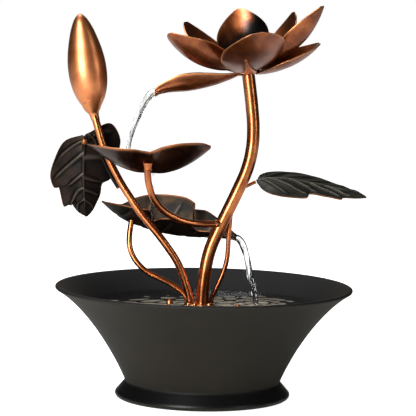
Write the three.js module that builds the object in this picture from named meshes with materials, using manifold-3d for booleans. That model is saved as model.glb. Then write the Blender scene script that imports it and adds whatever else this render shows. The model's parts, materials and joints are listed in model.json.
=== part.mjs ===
// A tabletop water fountain: a flared stoneware bowl with a copper lotus standing in it.
// A small submersible pump under a plastic cover lifts water up the hollow main stem to the
// flower. It runs down the spout petal into the upper dish, over the dish's rear notch into the
// lower leaf, and off the leaf's tip back into the bowl.
//
// Millimetres, +Z up. The origin is on the bowl's axis, on the table under the felt pad.

import * as THREE from 'three';
import { mergeVertices } from 'three/addons/utils/BufferGeometryUtils.js';
import Module from 'manifold-3d';

const wasm = await Module();
wasm.setup();

// ---------------------------------------------------------------- driving dimensions

const GAP = 0.3; // air left between brazed, stacked or glued pieces
const SHEET = 0.8; // copper sheet of the petals, leaves and dish

const RIM_RADIUS = 102.5;
const RIM_TOP = 77.6;
const NECK_RADIUS = 53.6;
const NECK_HEIGHT = 12;
const FOOT_RADIUS = 60.4;
const BOWL_FLOOR = 8; // inside, at the axis
const PAD_RADIUS = 50;
const PAD_TOP = 2;

const COVER_RADIUS = 39;
const COVER_TOP = 58;
const COVER_WALL = 2;
const PLATE_RADIUS = 30;
const PLATE_TOP = COVER_TOP + GAP + 2;
const BOLT_CENTRES = [[-23.7, 11.3], [23.7, -11.3]]; // the plate's two studs

const MAIN_STEM_RADIUS = 4.4; // 3/8 in class copper tube
const MAIN_STEM_BORE = 3.5;
const BUD_STEM_RADIUS = 2.65;
const DISH_STEM_RADIUS = 2.4;
const PROP_RADIUS = 2;
const BRACE_RADIUS = 1.7;
const WIRE_RADIUS = 1.2;

const FLOWER_CENTRE = [27.5, 4, 227];
const FLOWER_TILT = -10; // degrees, towards -X
const PETAL_START = 5; // petals begin this far from the flower's axis

const PUMP_AXIS = [-1, 4]; // X and Y of the pump's outlet, under the main stem
const PUMP_BOTTOM = 14.3;
const PUMP_TOP = 38.3;

// ---------------------------------------------------------------- materials

const finishes = {
  stoneware: [0x34312d, 0.75, 0],
  felt: [0x1c1b1a, 0.95, 0],
  coverPlastic: [0x17181a, 0.55, 0],
  antiquePlate: [0x4a3222, 0.5, 0.9],
  copper: [0xc8783f, 0.28, 1],
  brownCopper: [0x8a4b28, 0.42, 1],
  darkCopper: [0x3a3029, 0.5, 0.85],
  braze: [0xd99a5b, 0.3, 1],
  pumpPlastic: [0x202225, 0.45, 0],
  rubber: [0x2a2a2a, 0.85, 0],
  silicone: [0xb9bcb8, 0.4, 0],
  magnet: [0x3c3d40, 0.5, 0.6],
  steel: [0xb8bcc0, 0.25, 1],
};
const materials = {};
for (const [name, [color, roughness, metalness]] of Object.entries(finishes)) {
  materials[name] = new THREE.MeshStandardMaterial({ name, color, roughness, metalness });
}

// ---------------------------------------------------------------- the scene graph

const fountain = new THREE.Group();

function addPart(name, geometry, material, group = fountain) {
  const mesh = new THREE.Mesh(geometry, material);
  mesh.name = name;
  group.add(mesh);
  return mesh;
}

// ---------------------------------------------------------------- geometry helpers

// Keeps only the positions, with each shared corner stored once.
function welded(geometry) {
  geometry.deleteAttribute('normal');
  geometry.deleteAttribute('uv');
  return mergeVertices(geometry, 1e-4);
}

function solidOf(geometry) {
  const closed = welded(geometry);
  return new wasm.Manifold(new wasm.Mesh({
    numProp: 3,
    vertProperties: new Float32Array(closed.attributes.position.array),
    triVerts: new Uint32Array(closed.index.array),
  }));
}

function geometryOf(solid) {
  const { numProp, vertProperties, triVerts } = solid.getMesh();
  const corners = new Float32Array((vertProperties.length / numProp) * 3);
  for (let i = 0; i < corners.length / 3; i += 1) {
    corners.set(vertProperties.slice(i * numProp, i * numProp + 3), i * 3);
  }
  const geometry = new THREE.BufferGeometry();
  geometry.setAttribute('position', new THREE.BufferAttribute(corners, 3));
  geometry.setIndex(new THREE.BufferAttribute(new Uint32Array(triVerts), 1));
  return geometry;
}

function cut(geometry, ...tools) {
  let solid = solidOf(geometry);
  for (const tool of tools) {
    solid = solid.subtract(solidOf(tool));
  }
  const bodies = solid.decompose(); // a coped end can leave a sliver, which falls away
  return geometryOf(bodies.reduce((largest, body) => (body.volume() > largest.volume() ? body : largest)));
}

function join(...pieces) {
  let solid = solidOf(pieces[0]);
  for (const piece of pieces.slice(1)) {
    solid = solid.add(solidOf(piece));
  }
  return geometryOf(solid);
}

function box(sizeX, sizeY, sizeZ, x, y, z) {
  return new THREE.BoxGeometry(sizeX, sizeY, sizeZ).translate(x, y, z);
}

// A cylinder or cone frustum standing on z = bottom.
function post(radius, bottom, top, x = 0, y = 0, sides = 20, topRadius = radius) {
  return new THREE.CylinderGeometry(topRadius, radius, top - bottom, sides)
    .rotateX(Math.PI / 2)
    .translate(x, y, (bottom + top) / 2);
}

// A cylinder lying along Y between two Y values.
function rollerY(radius, from, to, x, z, sides = 20) {
  return new THREE.CylinderGeometry(radius, radius, to - from, sides).translate(x, (from + to) / 2, z);
}

// Turns an [r, z] profile round the Z axis. The profile runs anticlockwise when r points right.
function turned(profile, sides, x = 0, y = 0) {
  const points = profile.map(([r, z]) => new THREE.Vector2(r, z));
  return new THREE.LatheGeometry(points, sides).rotateX(Math.PI / 2).translate(x, y, 0);
}

function ring(inner, outer, bottom, top, x = 0, y = 0, sides = 20) {
  return turned([[inner, bottom], [outer, bottom], [outer, top], [inner, top], [inner, bottom]], sides, x, y);
}

function smooth(points) {
  return new THREE.CatmullRomCurve3(points.map((point) => new THREE.Vector3(...point)), false, 'centripetal');
}

function circleOutline(radius, sides) {
  const points = [];
  for (let i = 0; i < sides; i += 1) {
    const angle = (i / sides) * Math.PI * 2;
    points.push(new THREE.Vector2(Math.cos(angle) * radius, Math.sin(angle) * radius));
  }
  return points;
}

// A round tube or rod along a route.
function tube(route, radius, { sides = 8, steps = 20, bore = 0 } = {}) {
  const outline = new THREE.Shape(circleOutline(radius, sides));
  if (bore > 0) {
    outline.holes.push(new THREE.Path(circleOutline(bore, sides)));
  }
  return new THREE.ExtrudeGeometry(outline, { steps, bevelEnabled: false, extrudePath: smooth(route) });
}

// Sheet metal: a flat box bent onto surface(s, t), with s from -1 to 1 and t from 0 to 1. It
// lies from `under` the surface to `over` it, where over is the side that s, seen from t, has on
// its left.
function sheet(surface, across, along, under = SHEET / 2, over = SHEET / 2) {
  const geometry = welded(new THREE.BoxGeometry(2, 1, 1, across, along, 1));
  const position = geometry.attributes.position;
  const step = 1e-3;
  for (let i = 0; i < position.count; i += 1) {
    const s = -position.getX(i);
    const t = position.getY(i) + 0.5;
    const acrossway = surface(Math.min(s + step, 1), t).sub(surface(Math.max(s - step, -1), t));
    const lengthway = surface(s, Math.min(t + step, 1)).sub(surface(s, Math.max(t - step, 0)));
    const normal = lengthway.cross(acrossway).normalize();
    const offset = position.getZ(i) < 0 ? -under : over;
    position.setXYZ(i, ...surface(s, t).addScaledVector(normal, offset));
  }
  return geometry;
}

// A surface held by three rails: near edge, midrib and far edge, given as stations along it.
// The edges' height over the midrib, along the axis `depth`, is reached as the power `bow`.
function railed(stations, depth, bow) {
  const [near, mid, far] = [0, 1, 2].map((rail) => smooth(stations.map((station) => station[rail])));
  return (s, t) => {
    const centre = mid.getPoint(t);
    const edge = (s < 0 ? near : far).getPoint(t).sub(centre);
    const rise = depth.clone().multiplyScalar(edge.dot(depth));
    const reach = Math.abs(s);
    return centre.addScaledVector(edge.sub(rise), reach).addScaledVector(rise, reach ** bow);
  };
}

// ---------------------------------------------------------------- bowl and pad

function bezier(points, pieces) {
  const curve = new THREE.CubicBezierCurve(...points.map(([r, z]) => new THREE.Vector2(r, z)));
  return curve.getPoints(pieces).map((point) => [point.x, point.y]);
}

const BOWL_SIDES = 36;
const outerWall = bezier([[NECK_RADIUS, NECK_HEIGHT], [64.5, 37], [84, 65], [102.2, 75.6]], 7);
const innerWall = bezier([[98.4, 76.9], [80.8, 67], [60.8, 39], [49, 14]], 6);
const bowlProfile = [
  [0, PAD_TOP + GAP],
  [PAD_RADIUS + 1.5, PAD_TOP + GAP],
  [PAD_RADIUS + 2, 0.5],
  [58.6, 0.5],
  [60, 1.3],
  [FOOT_RADIUS, 2.6],
  [59.6, 4],
  [56.6, 8.2],
  ...outerWall,
  [RIM_RADIUS, 76.5],
  [101.8, 77.3],
  [100.6, RIM_TOP],
  [99.4, 77.4],
  ...innerWall,
  [44.5, BOWL_FLOOR + 1.2],
  [40, BOWL_FLOOR],
  [0, BOWL_FLOOR],
];
addPart('bowl', turned(bowlProfile, BOWL_SIDES), materials.stoneware);
addPart('base_pad', post(PAD_RADIUS, 0, PAD_TOP, 0, 0, 32), materials.felt);

// ---------------------------------------------------------------- pump cover, plate and studs

const STEM_HOLE = MAIN_STEM_RADIUS + 0.5;
const STUD_RADIUS = 1.5;
const STUD_HOLE = 1.9;

function studHoles(bottom, top) {
  return BOLT_CENTRES.map(([x, y]) => post(STUD_HOLE, bottom, top, x, y, 12));
}

// An upturned cup that stands on the bowl's floor, with six water inlets in its lower edge.
function pumpCover() {
  const foot = BOWL_FLOOR + GAP;
  const shoulder = COVER_TOP - 3;
  const inside = COVER_RADIUS - COVER_WALL;
  const cup = turned([
    [0, COVER_TOP - COVER_WALL],
    [inside - 3, COVER_TOP - COVER_WALL],
    [inside, shoulder - COVER_WALL],
    [inside, foot],
    [COVER_RADIUS, foot],
    [COVER_RADIUS, shoulder],
    [COVER_RADIUS - 3, COVER_TOP],
    [0, COVER_TOP],
  ], 36);
  const inlets = [];
  for (let i = 0; i < 3; i += 1) {
    inlets.push(box(3 * COVER_RADIUS, 9, 12, 0, 0, foot).rotateZ((i * Math.PI) / 3));
  }
  const stemHole = post(STEM_HOLE, COVER_TOP - 5, COVER_TOP + 5, ...PUMP_AXIS, 20);
  return cut(cup, ...inlets, stemHole, ...studHoles(COVER_TOP - 5, COVER_TOP + 5));
}
addPart('pump_cover', pumpCover(), materials.coverPlastic);

const plateDisc = post(PLATE_RADIUS, COVER_TOP + GAP, PLATE_TOP, 0, 0, 32);
const plateHole = post(STEM_HOLE, COVER_TOP, PLATE_TOP + 1, ...PUMP_AXIS, 20);
addPart(
  'stem_plate',
  cut(plateDisc, plateHole, ...studHoles(COVER_TOP, PLATE_TOP + 1)),
  materials.antiquePlate,
);

// An acorn nut: a hexagon under a dome, with a blind hole from below.
function acornNut(x, y) {
  const bottom = PLATE_TOP + GAP;
  const hexagon = post(3.2, bottom, bottom + 3, x, y, 6);
  const dome = turned([[0, bottom], [2.6, bottom], [2.6, bottom + 3.4], [2.1, bottom + 5], [1.2, bottom + 5.9],
    [0, bottom + 6.2]], 14, x, y);
  return cut(join(hexagon, dome), post(STUD_RADIUS + GAP, bottom - 1, bottom + 4.4, x, y, 12));
}

// A pan-head screw that comes up through the cover and the plate into the nut.
function plateScrew(x, y) {
  const headTop = COVER_TOP - COVER_WALL - GAP;
  const head = post(2.8, headTop - 1.8, headTop, x, y, 16);
  return join(head, post(STUD_RADIUS, headTop - 1, PLATE_TOP + 4, x, y, 12));
}

BOLT_CENTRES.forEach(([x, y], index) => {
  addPart(`acorn_nut_${index + 1}`, acornNut(x, y), materials.copper);
  addPart(`plate_screw_${index + 1}`, plateScrew(x, y), materials.steel);
});

// ---------------------------------------------------------------- stems and rods

const ROOT = PLATE_TOP + GAP; // the braze stands here
const STEM_FOOT = ROOT + 0.4; // square ends of leaning stems clear the plate

const mainRoute = [
  [-1, 4, 47], [-1, 4, 58], [-1, 4, 68], [0.2, 4, 83], [3.3, 4, 100.4], [9.2, 4, 115.5], [16.1, 4, 130.3],
  [22.9, 4, 145.1], [28.2, 4, 158], [31.4, 4, 172], [32.1, 4, 186], [30.8, 4, 202], [29, 4, 216],
  [27.6, 4, 226], [26.8, 4, 230.9],
];
const budRoute = [
  [-8.6, 2.5, STEM_FOOT], [-9.6, 2.5, 68.6], [-12.1, 2.5, 77.3], [-15.2, 2.5, 86], [-19.4, 2.7, 94.6],
  [-25.2, 3.2, 103.1], [-31.8, 4, 111.6], [-39, 5, 120], [-45.9, 6, 128.5], [-51.8, 7, 137], [-57.6, 8, 145.6],
  [-62.8, 8.8, 154.6], [-67.5, 9.2, 164], [-71.2, 9.5, 173], [-74.9, 9.7, 184.5], [-76.9, 10, 191.5],
];
const dishRoute = [
  [8.4, -1.2, 120.9], [5.2, -2, 120.7], [-3.4, -4.5, 120.8], [-12, -8, 122.2], [-20.5, -11.5, 125.5],
  [-29.1, -15, 131.2], [-35.2, -18.8, 139.2], [-38.2, -21.6, 147.8], [-39.3, -23.2, 155], [-39.4, -24.6, 163],
];
const propRoute = [
  [-10.4, 9.5, STEM_FOOT], [-12.3, 10.5, 68.4], [-20.1, 11.5, 75], [-31.5, 12.5, 80.9], [-39.1, 13.5, 84.4],
  [-45.8, 14.5, 90], [-49.8, 15.5, 95.6], [-52.1, 16.2, 102], [-52.5, 17.2, 108], [-51.6, 19.6, 117.4],
];
const braceRoute = [
  [3.8, 11.8, STEM_FOOT], [5.7, 11.5, 67.6], [9.5, 11.2, 76.5], [13.1, 10.8, 85.4], [15.5, 10.4, 94.2],
  [16.3, 10.2, 103], [16.5, 10.2, 111.7], [17.2, 10.2, 120.5], [17.5, 10.2, 127.4],
];
const leftWireRoute = [
  [-84.4, 14.6, 175.4], [-83.4, 13.7, 178.4], [-81.2, 12.8, 179.7], [-78.6, 12.4, 178.1], [-75.9, 12.3, 173.4],
  [-70.8, 12.2, 161.7], [-65.5, 11.6, 151.3], [-60.3, 10.6, 143],
];
const rightWireRoute = [[25, 10.6, 144.6], [28.2, 11.2, 146], [31.6, 11.7, 147.7], [34.6, 12, 149.2]];

addPart(
  'main_stem',
  tube(mainRoute, MAIN_STEM_RADIUS, { sides: 12, steps: 26, bore: MAIN_STEM_BORE }),
  materials.copper,
);
addPart('bud_stem', tube(budRoute, BUD_STEM_RADIUS, { sides: 10, steps: 24 }), materials.copper);
addPart('leaf_prop', tube(propRoute, PROP_RADIUS, { steps: 24 }), materials.copper);
addPart('left_leaf_wire', tube(leftWireRoute, WIRE_RADIUS, { steps: 20 }), materials.copper);
addPart('right_leaf_wire', tube(rightWireRoute, WIRE_RADIUS, { steps: 6 }), materials.copper);

// The space that a stem or rod takes up in its neighbours: a gap wider and longer than itself.
function stemRoom(route, radius, options) {
  const points = route.map((point) => new THREE.Vector3(...point));
  const last = points.length - 1;
  const startWay = points[0].clone().sub(points[1]).setLength(GAP);
  const endWay = points[last].clone().sub(points[last - 1]).setLength(GAP);
  points[0].add(startWay);
  points[last].add(endWay);
  return tube(points.map((point) => point.toArray()), radius + GAP, options);
}
const mainStemRoom = () => stemRoom(mainRoute, MAIN_STEM_RADIUS, { sides: 12, steps: 26 });

// The brace rod is coped where it meets the main stem.
addPart('brace_rod', cut(tube(braceRoute, BRACE_RADIUS, { steps: 18 }), mainStemRoom()), materials.copper);

// ---------------------------------------------------------------- brazed joints

function bead(radius, x, y, z, squash = 1) {
  return new THREE.SphereGeometry(radius, 10, 7).scale(1, 1, squash).translate(x, y, z);
}

function rootBraze() {
  const fillets = join(
    post(7.4, ROOT, 64.6, -1, 4, 16, 5.2),
    post(5.4, ROOT, 64.8, -8.8, 2.6, 14, 3.4),
    post(4.4, ROOT, 64, -10.9, 9.8, 12, 2.9),
    post(4, ROOT, 64.4, 4.4, 11.7, 12, 2.6),
    bead(1.9, -10.4, -0.6, 64.6),
    bead(1.8, -6, -0.4, 64.4),
    bead(1.7, 3.9, 0.8, 64.2),
  );
  const floor = post(40, ROOT - 10, ROOT, 0, 0, 8);
  return cut(
    fillets,
    floor,
    mainStemRoom(),
    stemRoom(budRoute, BUD_STEM_RADIUS, { sides: 10, steps: 24 }),
    stemRoom(propRoute, PROP_RADIUS, { steps: 24 }),
    stemRoom(braceRoute, BRACE_RADIUS, { steps: 18 }),
  );
}
addPart('root_braze', rootBraze(), materials.braze);

const dishStemRoom = () => stemRoom(dishRoute, DISH_STEM_RADIUS, { steps: 20 });
addPart('branch_braze', cut(bead(2.9, 7.7, -1.4, 121), mainStemRoom(), dishStemRoom()), materials.braze);

const braceRodRoom = () => stemRoom(braceRoute, BRACE_RADIUS, { steps: 18 });
addPart('brace_braze', cut(bead(2.8, 16.6, 9, 126, 1.4), mainStemRoom(), braceRodRoom()), materials.braze);

const rightWireRoom = () => stemRoom(rightWireRoute, WIRE_RADIUS, { steps: 6 });
addPart('wire_braze', cut(bead(2.3, 24.4, 9.4, 144.2), mainStemRoom(), rightWireRoom()), materials.braze);

// ---------------------------------------------------------------- flower

const flower = new THREE.Group();
flower.position.set(...FLOWER_CENTRE);
flower.rotation.y = THREE.MathUtils.degToRad(FLOWER_TILT);
fountain.add(flower);

// A cupped petal in the flower's own frame, where Z is the flower's axis. Its midrib leaves the
// axis at `turn` degrees, climbing from `slope[0]` to `slope[1]` degrees over `length`; `cup` is
// the radius across it, and `roll` twists it about its midrib.
function petal({ turn, length, slope, width, cup, peak, blunt, roll, base }) {
  const radians = THREE.MathUtils.degToRad;
  const outward = new THREE.Vector3(Math.cos(radians(turn)), Math.sin(radians(turn)), 0);
  const sideways = new THREE.Vector3(-outward.y, outward.x, 0);
  const axis = new THREE.Vector3(0, 0, 1);
  const [start, end] = slope.map(radians);
  return (s, t) => {
    const climb = start + (end - start) * t;
    const reach = PETAL_START + (length * (Math.sin(climb) - Math.sin(start))) / (end - start);
    const height = base - (length * (Math.cos(climb) - Math.cos(start))) / (end - start);
    const halfWidth = (width / 2) * Math.sin(Math.PI * (0.04 + 0.95 * t) ** peak) ** blunt;
    const bend = (s * halfWidth) / cup;
    const flatSide = cup * Math.sin(bend);
    const flatRise = cup * (1 - Math.cos(bend));
    const twist = radians(roll) * Math.min(2 * t, 1);
    const side = flatSide * Math.cos(twist) - flatRise * Math.sin(twist);
    const rise = flatSide * Math.sin(twist) + flatRise * Math.cos(twist);
    return new THREE.Vector3()
      .addScaledVector(outward, reach - Math.sin(climb) * rise)
      .addScaledVector(sideways, side)
      .addScaledVector(axis, height + Math.cos(climb) * rise);
  };
}

const petals = {
  petal_left: {
    turn: 218, length: 68, slope: [-4, 63], width: 38, cup: 14, peak: 1.14, blunt: 0.65, roll: 6, base: 1.7,
  },
  petal_right: {
    turn: 337, length: 69, slope: [-2, 64], width: 33, cup: 12, peak: 1.26, blunt: 0.55, roll: -1, base: 1.4,
  },
  petal_back: {
    turn: 88, length: 56, slope: [15, 87], width: 40, cup: 28, peak: 1.22, blunt: 0.72, roll: -4, base: 1,
  },
  petal_front: {
    turn: 279, length: 60, slope: [3, 50], width: 47, cup: 41, peak: 1.21, blunt: 0.57, roll: 3, base: -1.6,
  },
  petal_left_back: {
    turn: 146, length: 60, slope: [12, 78], width: 36, cup: 25, peak: 1.19, blunt: 0.64, roll: 6, base: -1.6,
  },
  petal_right_back: {
    turn: 38, length: 58, slope: [11, 67], width: 32, cup: 30, peak: 1.09, blunt: 0.75, roll: -7, base: -1.6,
  },
  petal_lower_right: {
    turn: 1, length: 50, slope: [-7, 40], width: 40, cup: 28, peak: 1.08, blunt: 0.53, roll: 7, base: -4,
  },
};
for (const [name, shape] of Object.entries(petals)) {
  addPart(name, sheet(petal(shape), 6, 9), materials.brownCopper, flower);
}

// The spout petal is a trough that runs left from under the flower. Stations: near, mid, far.
const spoutStations = [
  [[22, 0.5, 222.8], [23, 4, 222.2], [22, 7.5, 222.8]],
  [[11.6, -9.5, 224.4], [11.3, -1.5, 218.7], [11.6, 7, 223.4]],
  [[2.5, -15, 224.8], [0, -4, 215], [2.5, 7.5, 223.8]],
  [[-9, -19, 224.8], [-11.6, -7.5, 212.7], [-9, 4.5, 224.2]],
  [[-18, -19.5, 223.6], [-21, -9.5, 211.9], [-18, 1, 223]],
  [[-26, -17.5, 220.3], [-28, -11, 211.2], [-26, -4, 219.8]],
  [[-32.4, -15.8, 216.4], [-32.6, -12, 210], [-32.4, -8.6, 216]],
  [[-35.6, -14.6, 213.2], [-35.4, -12.8, 208.2], [-35.6, -11, 213]],
];
const UP = new THREE.Vector3(0, 0, 1);
addPart('spout_petal', sheet(railed(spoutStations, UP, 2.2), 8, 14), materials.brownCopper);

// ---------------------------------------------------------------- upper dish and lower leaf

// Two cupped lobes side by side, with a notch between them at the front and at the back, where
// the water leaves. The dish leans back a few degrees.
const dishStations = [
  [[-81.3, -16.5, 175.7], [-80.8, -15, 175], [-81.2, -13.5, 174.9]],
  [[-76, -24.5, 175.2], [-75.5, -15, 171.4], [-76, -7, 172]],
  [[-68.5, -31, 174.7], [-67.5, -14.5, 165.4], [-68.5, -0.5, 170.3]],
  [[-58.5, -36, 174], [-58.5, -14, 160.5], [-58.5, 4, 168.9]],
  [[-48, -36, 173.5], [-48.5, -13.5, 157], [-48, 4, 167.6]],
  [[-38, -29.5, 171.9], [-38, -13, 156.4], [-38, -2, 164.4]],
  [[-29.5, -35, 175.4], [-29, -13, 156.3], [-29.5, 4, 167.8]],
  [[-20, -37.5, 177.8], [-20, -13.5, 158.7], [-20, 6, 170]],
  [[-10.5, -35, 178.4], [-11, -14, 163.2], [-10.5, 4, 171.2]],
  [[-2.5, -28, 178], [-3.5, -14.5, 168.4], [-2.5, -2.5, 172.4]],
  [[3, -18.5, 175.8], [2.6, -15, 173.6], [3, -11, 173.6]],
];
const dishSurface = railed(dishStations, UP, 1.9);
addPart('upper_dish', sheet(dishSurface, 8, 20), materials.brownCopper);

// The dish and the space over it, which the stem and its ferrule stay out of.
const ROOM_OVER_DISH = 8;
const dishRoom = () => sheet(dishSurface, 8, 20, SHEET / 2 + GAP, ROOM_OVER_DISH);

// The dish stem is coped at both ends, to the main stem and to the dish.
const dishStem = tube(dishRoute, DISH_STEM_RADIUS, { steps: 20 });
addPart('dish_stem', cut(dishStem, mainStemRoom(), dishRoom()), materials.copper);

// The dish stem spreads into a small ferrule where it is brazed to the dish.
function dishFerrule() {
  const flare = turned([[0, 0], [2.9, 0], [3.6, 5], [0, 6.5]], 14).rotateX(0.1).translate(-39.2, -24.3, 159);
  return cut(flare, dishStemRoom(), dishRoom());
}
addPart('dish_ferrule', dishFerrule(), materials.braze);

// A lobed leaf, cupped into a basin that drains to its pointed right end.
const basinStations = [
  [[-72.6, 25.5, 132.6], [-72.4, 27.5, 132], [-72.4, 29.5, 132.2]],
  [[-65, 19.5, 132], [-64.5, 26, 125.2], [-66, 38, 130]],
  [[-57, 15.5, 130.9], [-56, 25, 119.9], [-59, 48, 128.6]],
  [[-47, 13, 129], [-47.5, 24.6, 116.2], [-50.6, 56, 132.2]],
  [[-38.5, 13, 127.7], [-40.5, 24.2, 113.9], [-42.5, 60, 134.2]],
  [[-35.8, 17, 120.6], [-34.5, 24, 112.3], [-34.5, 62, 134.7]],
  [[-30.5, 13.5, 122.2], [-28, 23.8, 111], [-24, 61, 134.4]],
  [[-20, 12.7, 121.8], [-19, 23.6, 109.7], [-14, 58, 133.2]],
  [[-9.5, 13.6, 117.5], [-10, 23.4, 109], [-7.6, 53, 130]],
  [[-6, 17, 114.3], [-5, 23.1, 108.8], [-7.8, 45, 126.4]],
  [[1.5, 14.6, 113.6], [2, 22.7, 108.7], [0.6, 45.6, 125.2]],
  [[9, 15, 112.4], [10, 22.2, 108.6], [8.6, 39, 121]],
  [[16.8, 16.8, 109.3], [17.8, 21.5, 108], [16, 30, 115.6]],
  [[21.6, 19, 107.2], [22.6, 21.2, 106.7], [22.6, 24, 110.8]],
];
const basinSurface = railed(basinStations, UP, 1.7);
addPart('lower_leaf', sheet(basinSurface, 8, 26), materials.darkCopper);

// ---------------------------------------------------------------- hanging and reaching leaves

const TOWARDS_BACK = new THREE.Vector3(0, 1, 0);
const leftLeafStations = [
  [[-86, 17.6, 179.2], [-84.6, 17.2, 178.4], [-83, 17.6, 180]],
  [[-98.5, 21.5, 174.4], [-84.7, 16.6, 172], [-67, 21.5, 187.4]],
  [[-106, 24, 160.5], [-85, 16.6, 163], [-60, 21.5, 177]],
  [[-108.4, 24.2, 149], [-85, 17, 154], [-62.5, 21.5, 162]],
  [[-105.3, 23.6, 141.5], [-84.8, 17.3, 147], [-66.6, 21.5, 148.5]],
  [[-103.2, 23.2, 143.2], [-84.5, 17.6, 142], [-71.6, 21, 146]],
  [[-98.4, 22.6, 128.5], [-84.2, 18, 137], [-73.2, 21, 138]],
  [[-95.2, 22, 132.5], [-83.8, 18.6, 132], [-75.6, 20.8, 132]],
  [[-89, 21, 125.6], [-83.3, 19.4, 127], [-78.6, 20.6, 126]],
  [[-83.6, 20.6, 122.4], [-82.8, 20.4, 122], [-82, 20.6, 122.4]],
];
const leftLeafSurface = railed(leftLeafStations, TOWARDS_BACK, 1.4);
addPart('left_leaf', sheet(leftLeafSurface, 8, 18), materials.darkCopper);

const rightLeafStations = [
  [[35.6, 10.8, 148.6], [35.2, 12, 149.6], [35.6, 13.2, 150.6]],
  [[39, 2.5, 144.8], [41, 11.8, 150.9], [38.6, 21, 153.6]],
  [[46, -5.5, 142.2], [50, 11.4, 151], [48, 28.5, 154.9]],
  [[57, -10.5, 140.9], [61, 11, 150.5], [63.5, 31, 154.2]],
  [[69.2, -11.5, 140.7], [70, 10.2, 148.8], [76.8, 29, 151.7]],
  [[71, -6, 142.7], [76, 9.6, 147.8], [84, 26.5, 149.8]],
  [[82, -8, 141.6], [83, 8.8, 146.6], [91, 23, 147.5]],
  [[92.8, -8.6, 139.7], [90, 8, 145.2], [97, 18.8, 146]],
  [[94.8, -4.6, 140.6], [96, 7.2, 143.8], [102.2, 15, 144.2]],
  [[103, -1.8, 140.2], [104, 6.2, 142], [107.6, 10, 142.3]],
  [[110.8, 4, 140.1], [111.1, 5, 140.3], [110.9, 6, 140.6]],
];
const rightLeafSurface = railed(rightLeafStations, UP, 1.3);
addPart('right_leaf', sheet(rightLeafSurface, 8, 20), materials.darkCopper);

const leftWireRoom = () => stemRoom(leftWireRoute, WIRE_RADIUS, { steps: 20 });
const leftLeafRoom = () => sheet(leftLeafSurface, 8, 18, SHEET / 2 + GAP, SHEET / 2 + GAP);
addPart('left_leaf_braze', cut(bead(2.4, -84.5, 14.4, 175, 1.2), leftWireRoom(), leftLeafRoom()), materials.braze);

// ---------------------------------------------------------------- bud

// The bud is pressed from two halves, joined round their edge. Each row: height above the
// crimp along the bud's axis, and radius.
const BUD_SEAT = [-78.4, 10, 196];
const BUD_LEAN = -8.6; // degrees, towards -X
const BUD_DEPTH = 0.8; // front to back over width
const budProfile = [
  [4.2, 0.4], [5.4, 2.2], [7.4, 5.6], [9.4, 9.4], [11.4, 15.3], [12.6, 22.3], [12.9, 29.2], [12.5, 36.1], [11.4, 43],
  [9.7, 50], [7.6, 56.9], [4.6, 63.6], [2.2, 66.6],
];

function budShape(inset) {
  const rows = budProfile.map(([r, z]) => [Math.max(r - inset, 0.4), z]);
  const bottom = budProfile[0][1] + inset;
  const top = 68 - 1.5 * inset;
  return turned([[0, bottom], ...rows.filter(([, z]) => z > bottom && z < top), [0, top]], 20).scale(1, BUD_DEPTH, 1);
}

const budGroup = new THREE.Group();
budGroup.position.set(...BUD_SEAT);
budGroup.rotation.y = THREE.MathUtils.degToRad(BUD_LEAN);
fountain.add(budGroup);
for (const [name, side] of [['bud_front', 1], ['bud_back', -1]]) {
  const otherHalf = box(60, 40, 160, 0, side * (20 - GAP / 2), 30);
  addPart(name, cut(budShape(0), budShape(SHEET), otherHalf), materials.copper, budGroup);
}

// The top of the bud stem is beaten flat, spoon-shaped, under the bud.
addPart(
  'bud_crimp',
  turned([[0, -3.6], [2.4, -3.6], [3.4, -1.6], [4.4, 0], [0, 0.2]], 12).scale(1, 0.75, 1),
  materials.copper,
  budGroup,
);

// ---------------------------------------------------------------- flower fittings

// A washer over the petals' roots, brazed round the mouth of the main stem.
addPart('flower_washer', ring(MAIN_STEM_RADIUS + GAP, 8, 3.5, 4.4), materials.braze, flower);

// A pointed strap from the stem forwards and left along the underside of the front petal.
const STRAP_THICKNESS = 1;
const STRAP_REACH = 0.58; // of the petal's length
const STRAP_DRIFT = -0.3; // towards the petal's left edge, at the strap's point
const frontPetal = petal(petals.petal_front);
function strapSurface(s, t) {
  const halfWidth = 0.03 + 0.55 * (1 - t) ** 2.5;
  return frontPetal(STRAP_DRIFT * t + s * halfWidth, 0.01 + STRAP_REACH * t);
}
const strapTop = SHEET / 2 + GAP;
addPart(
  'petal_strap',
  sheet(strapSurface, 2, 10, strapTop + STRAP_THICKNESS, -strapTop),
  materials.braze,
  flower,
);

// ---------------------------------------------------------------- pump

const pump = new THREE.Group();
pump.position.set(PUMP_AXIS[0], PUMP_AXIS[1], 0);
fountain.add(pump);

const HOUSING_WIDTH = 38;
const HOUSING_FRONT = -4.5;
const HOUSING_BACK = 23.5;
const ROTOR_HEIGHT = (PUMP_BOTTOM + PUMP_TOP) / 2; // the rotor's axis, along Y
const SHAFT_RADIUS = 1;
const SHAFT_BORE = 1.3;
const CHAMBER_RADIUS = 9.6;
const CHAMBER_DEPTH = 9;
const CHAMBER_END = HOUSING_FRONT + CHAMBER_DEPTH;
const WELL_RADIUS = 7.6;
const WELL_END = HOUSING_BACK - 4;

// A box with its four long edges rounded, lying along Y.
function roundedBlock(width, height, from, to, centreZ, radius) {
  const [x, z] = [width / 2 - radius, height / 2 - radius];
  const outline = new THREE.Shape();
  outline.absarc(x, z, radius, 0, Math.PI / 2);
  outline.absarc(-x, z, radius, Math.PI / 2, Math.PI);
  outline.absarc(-x, -z, radius, Math.PI, Math.PI * 1.5);
  outline.absarc(x, -z, radius, Math.PI * 1.5, Math.PI * 2);
  return new THREE.ExtrudeGeometry(outline, { depth: to - from, bevelEnabled: false, curveSegments: 3 })
    .rotateX(Math.PI / 2)
    .translate(0, to, centreZ);
}

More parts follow.
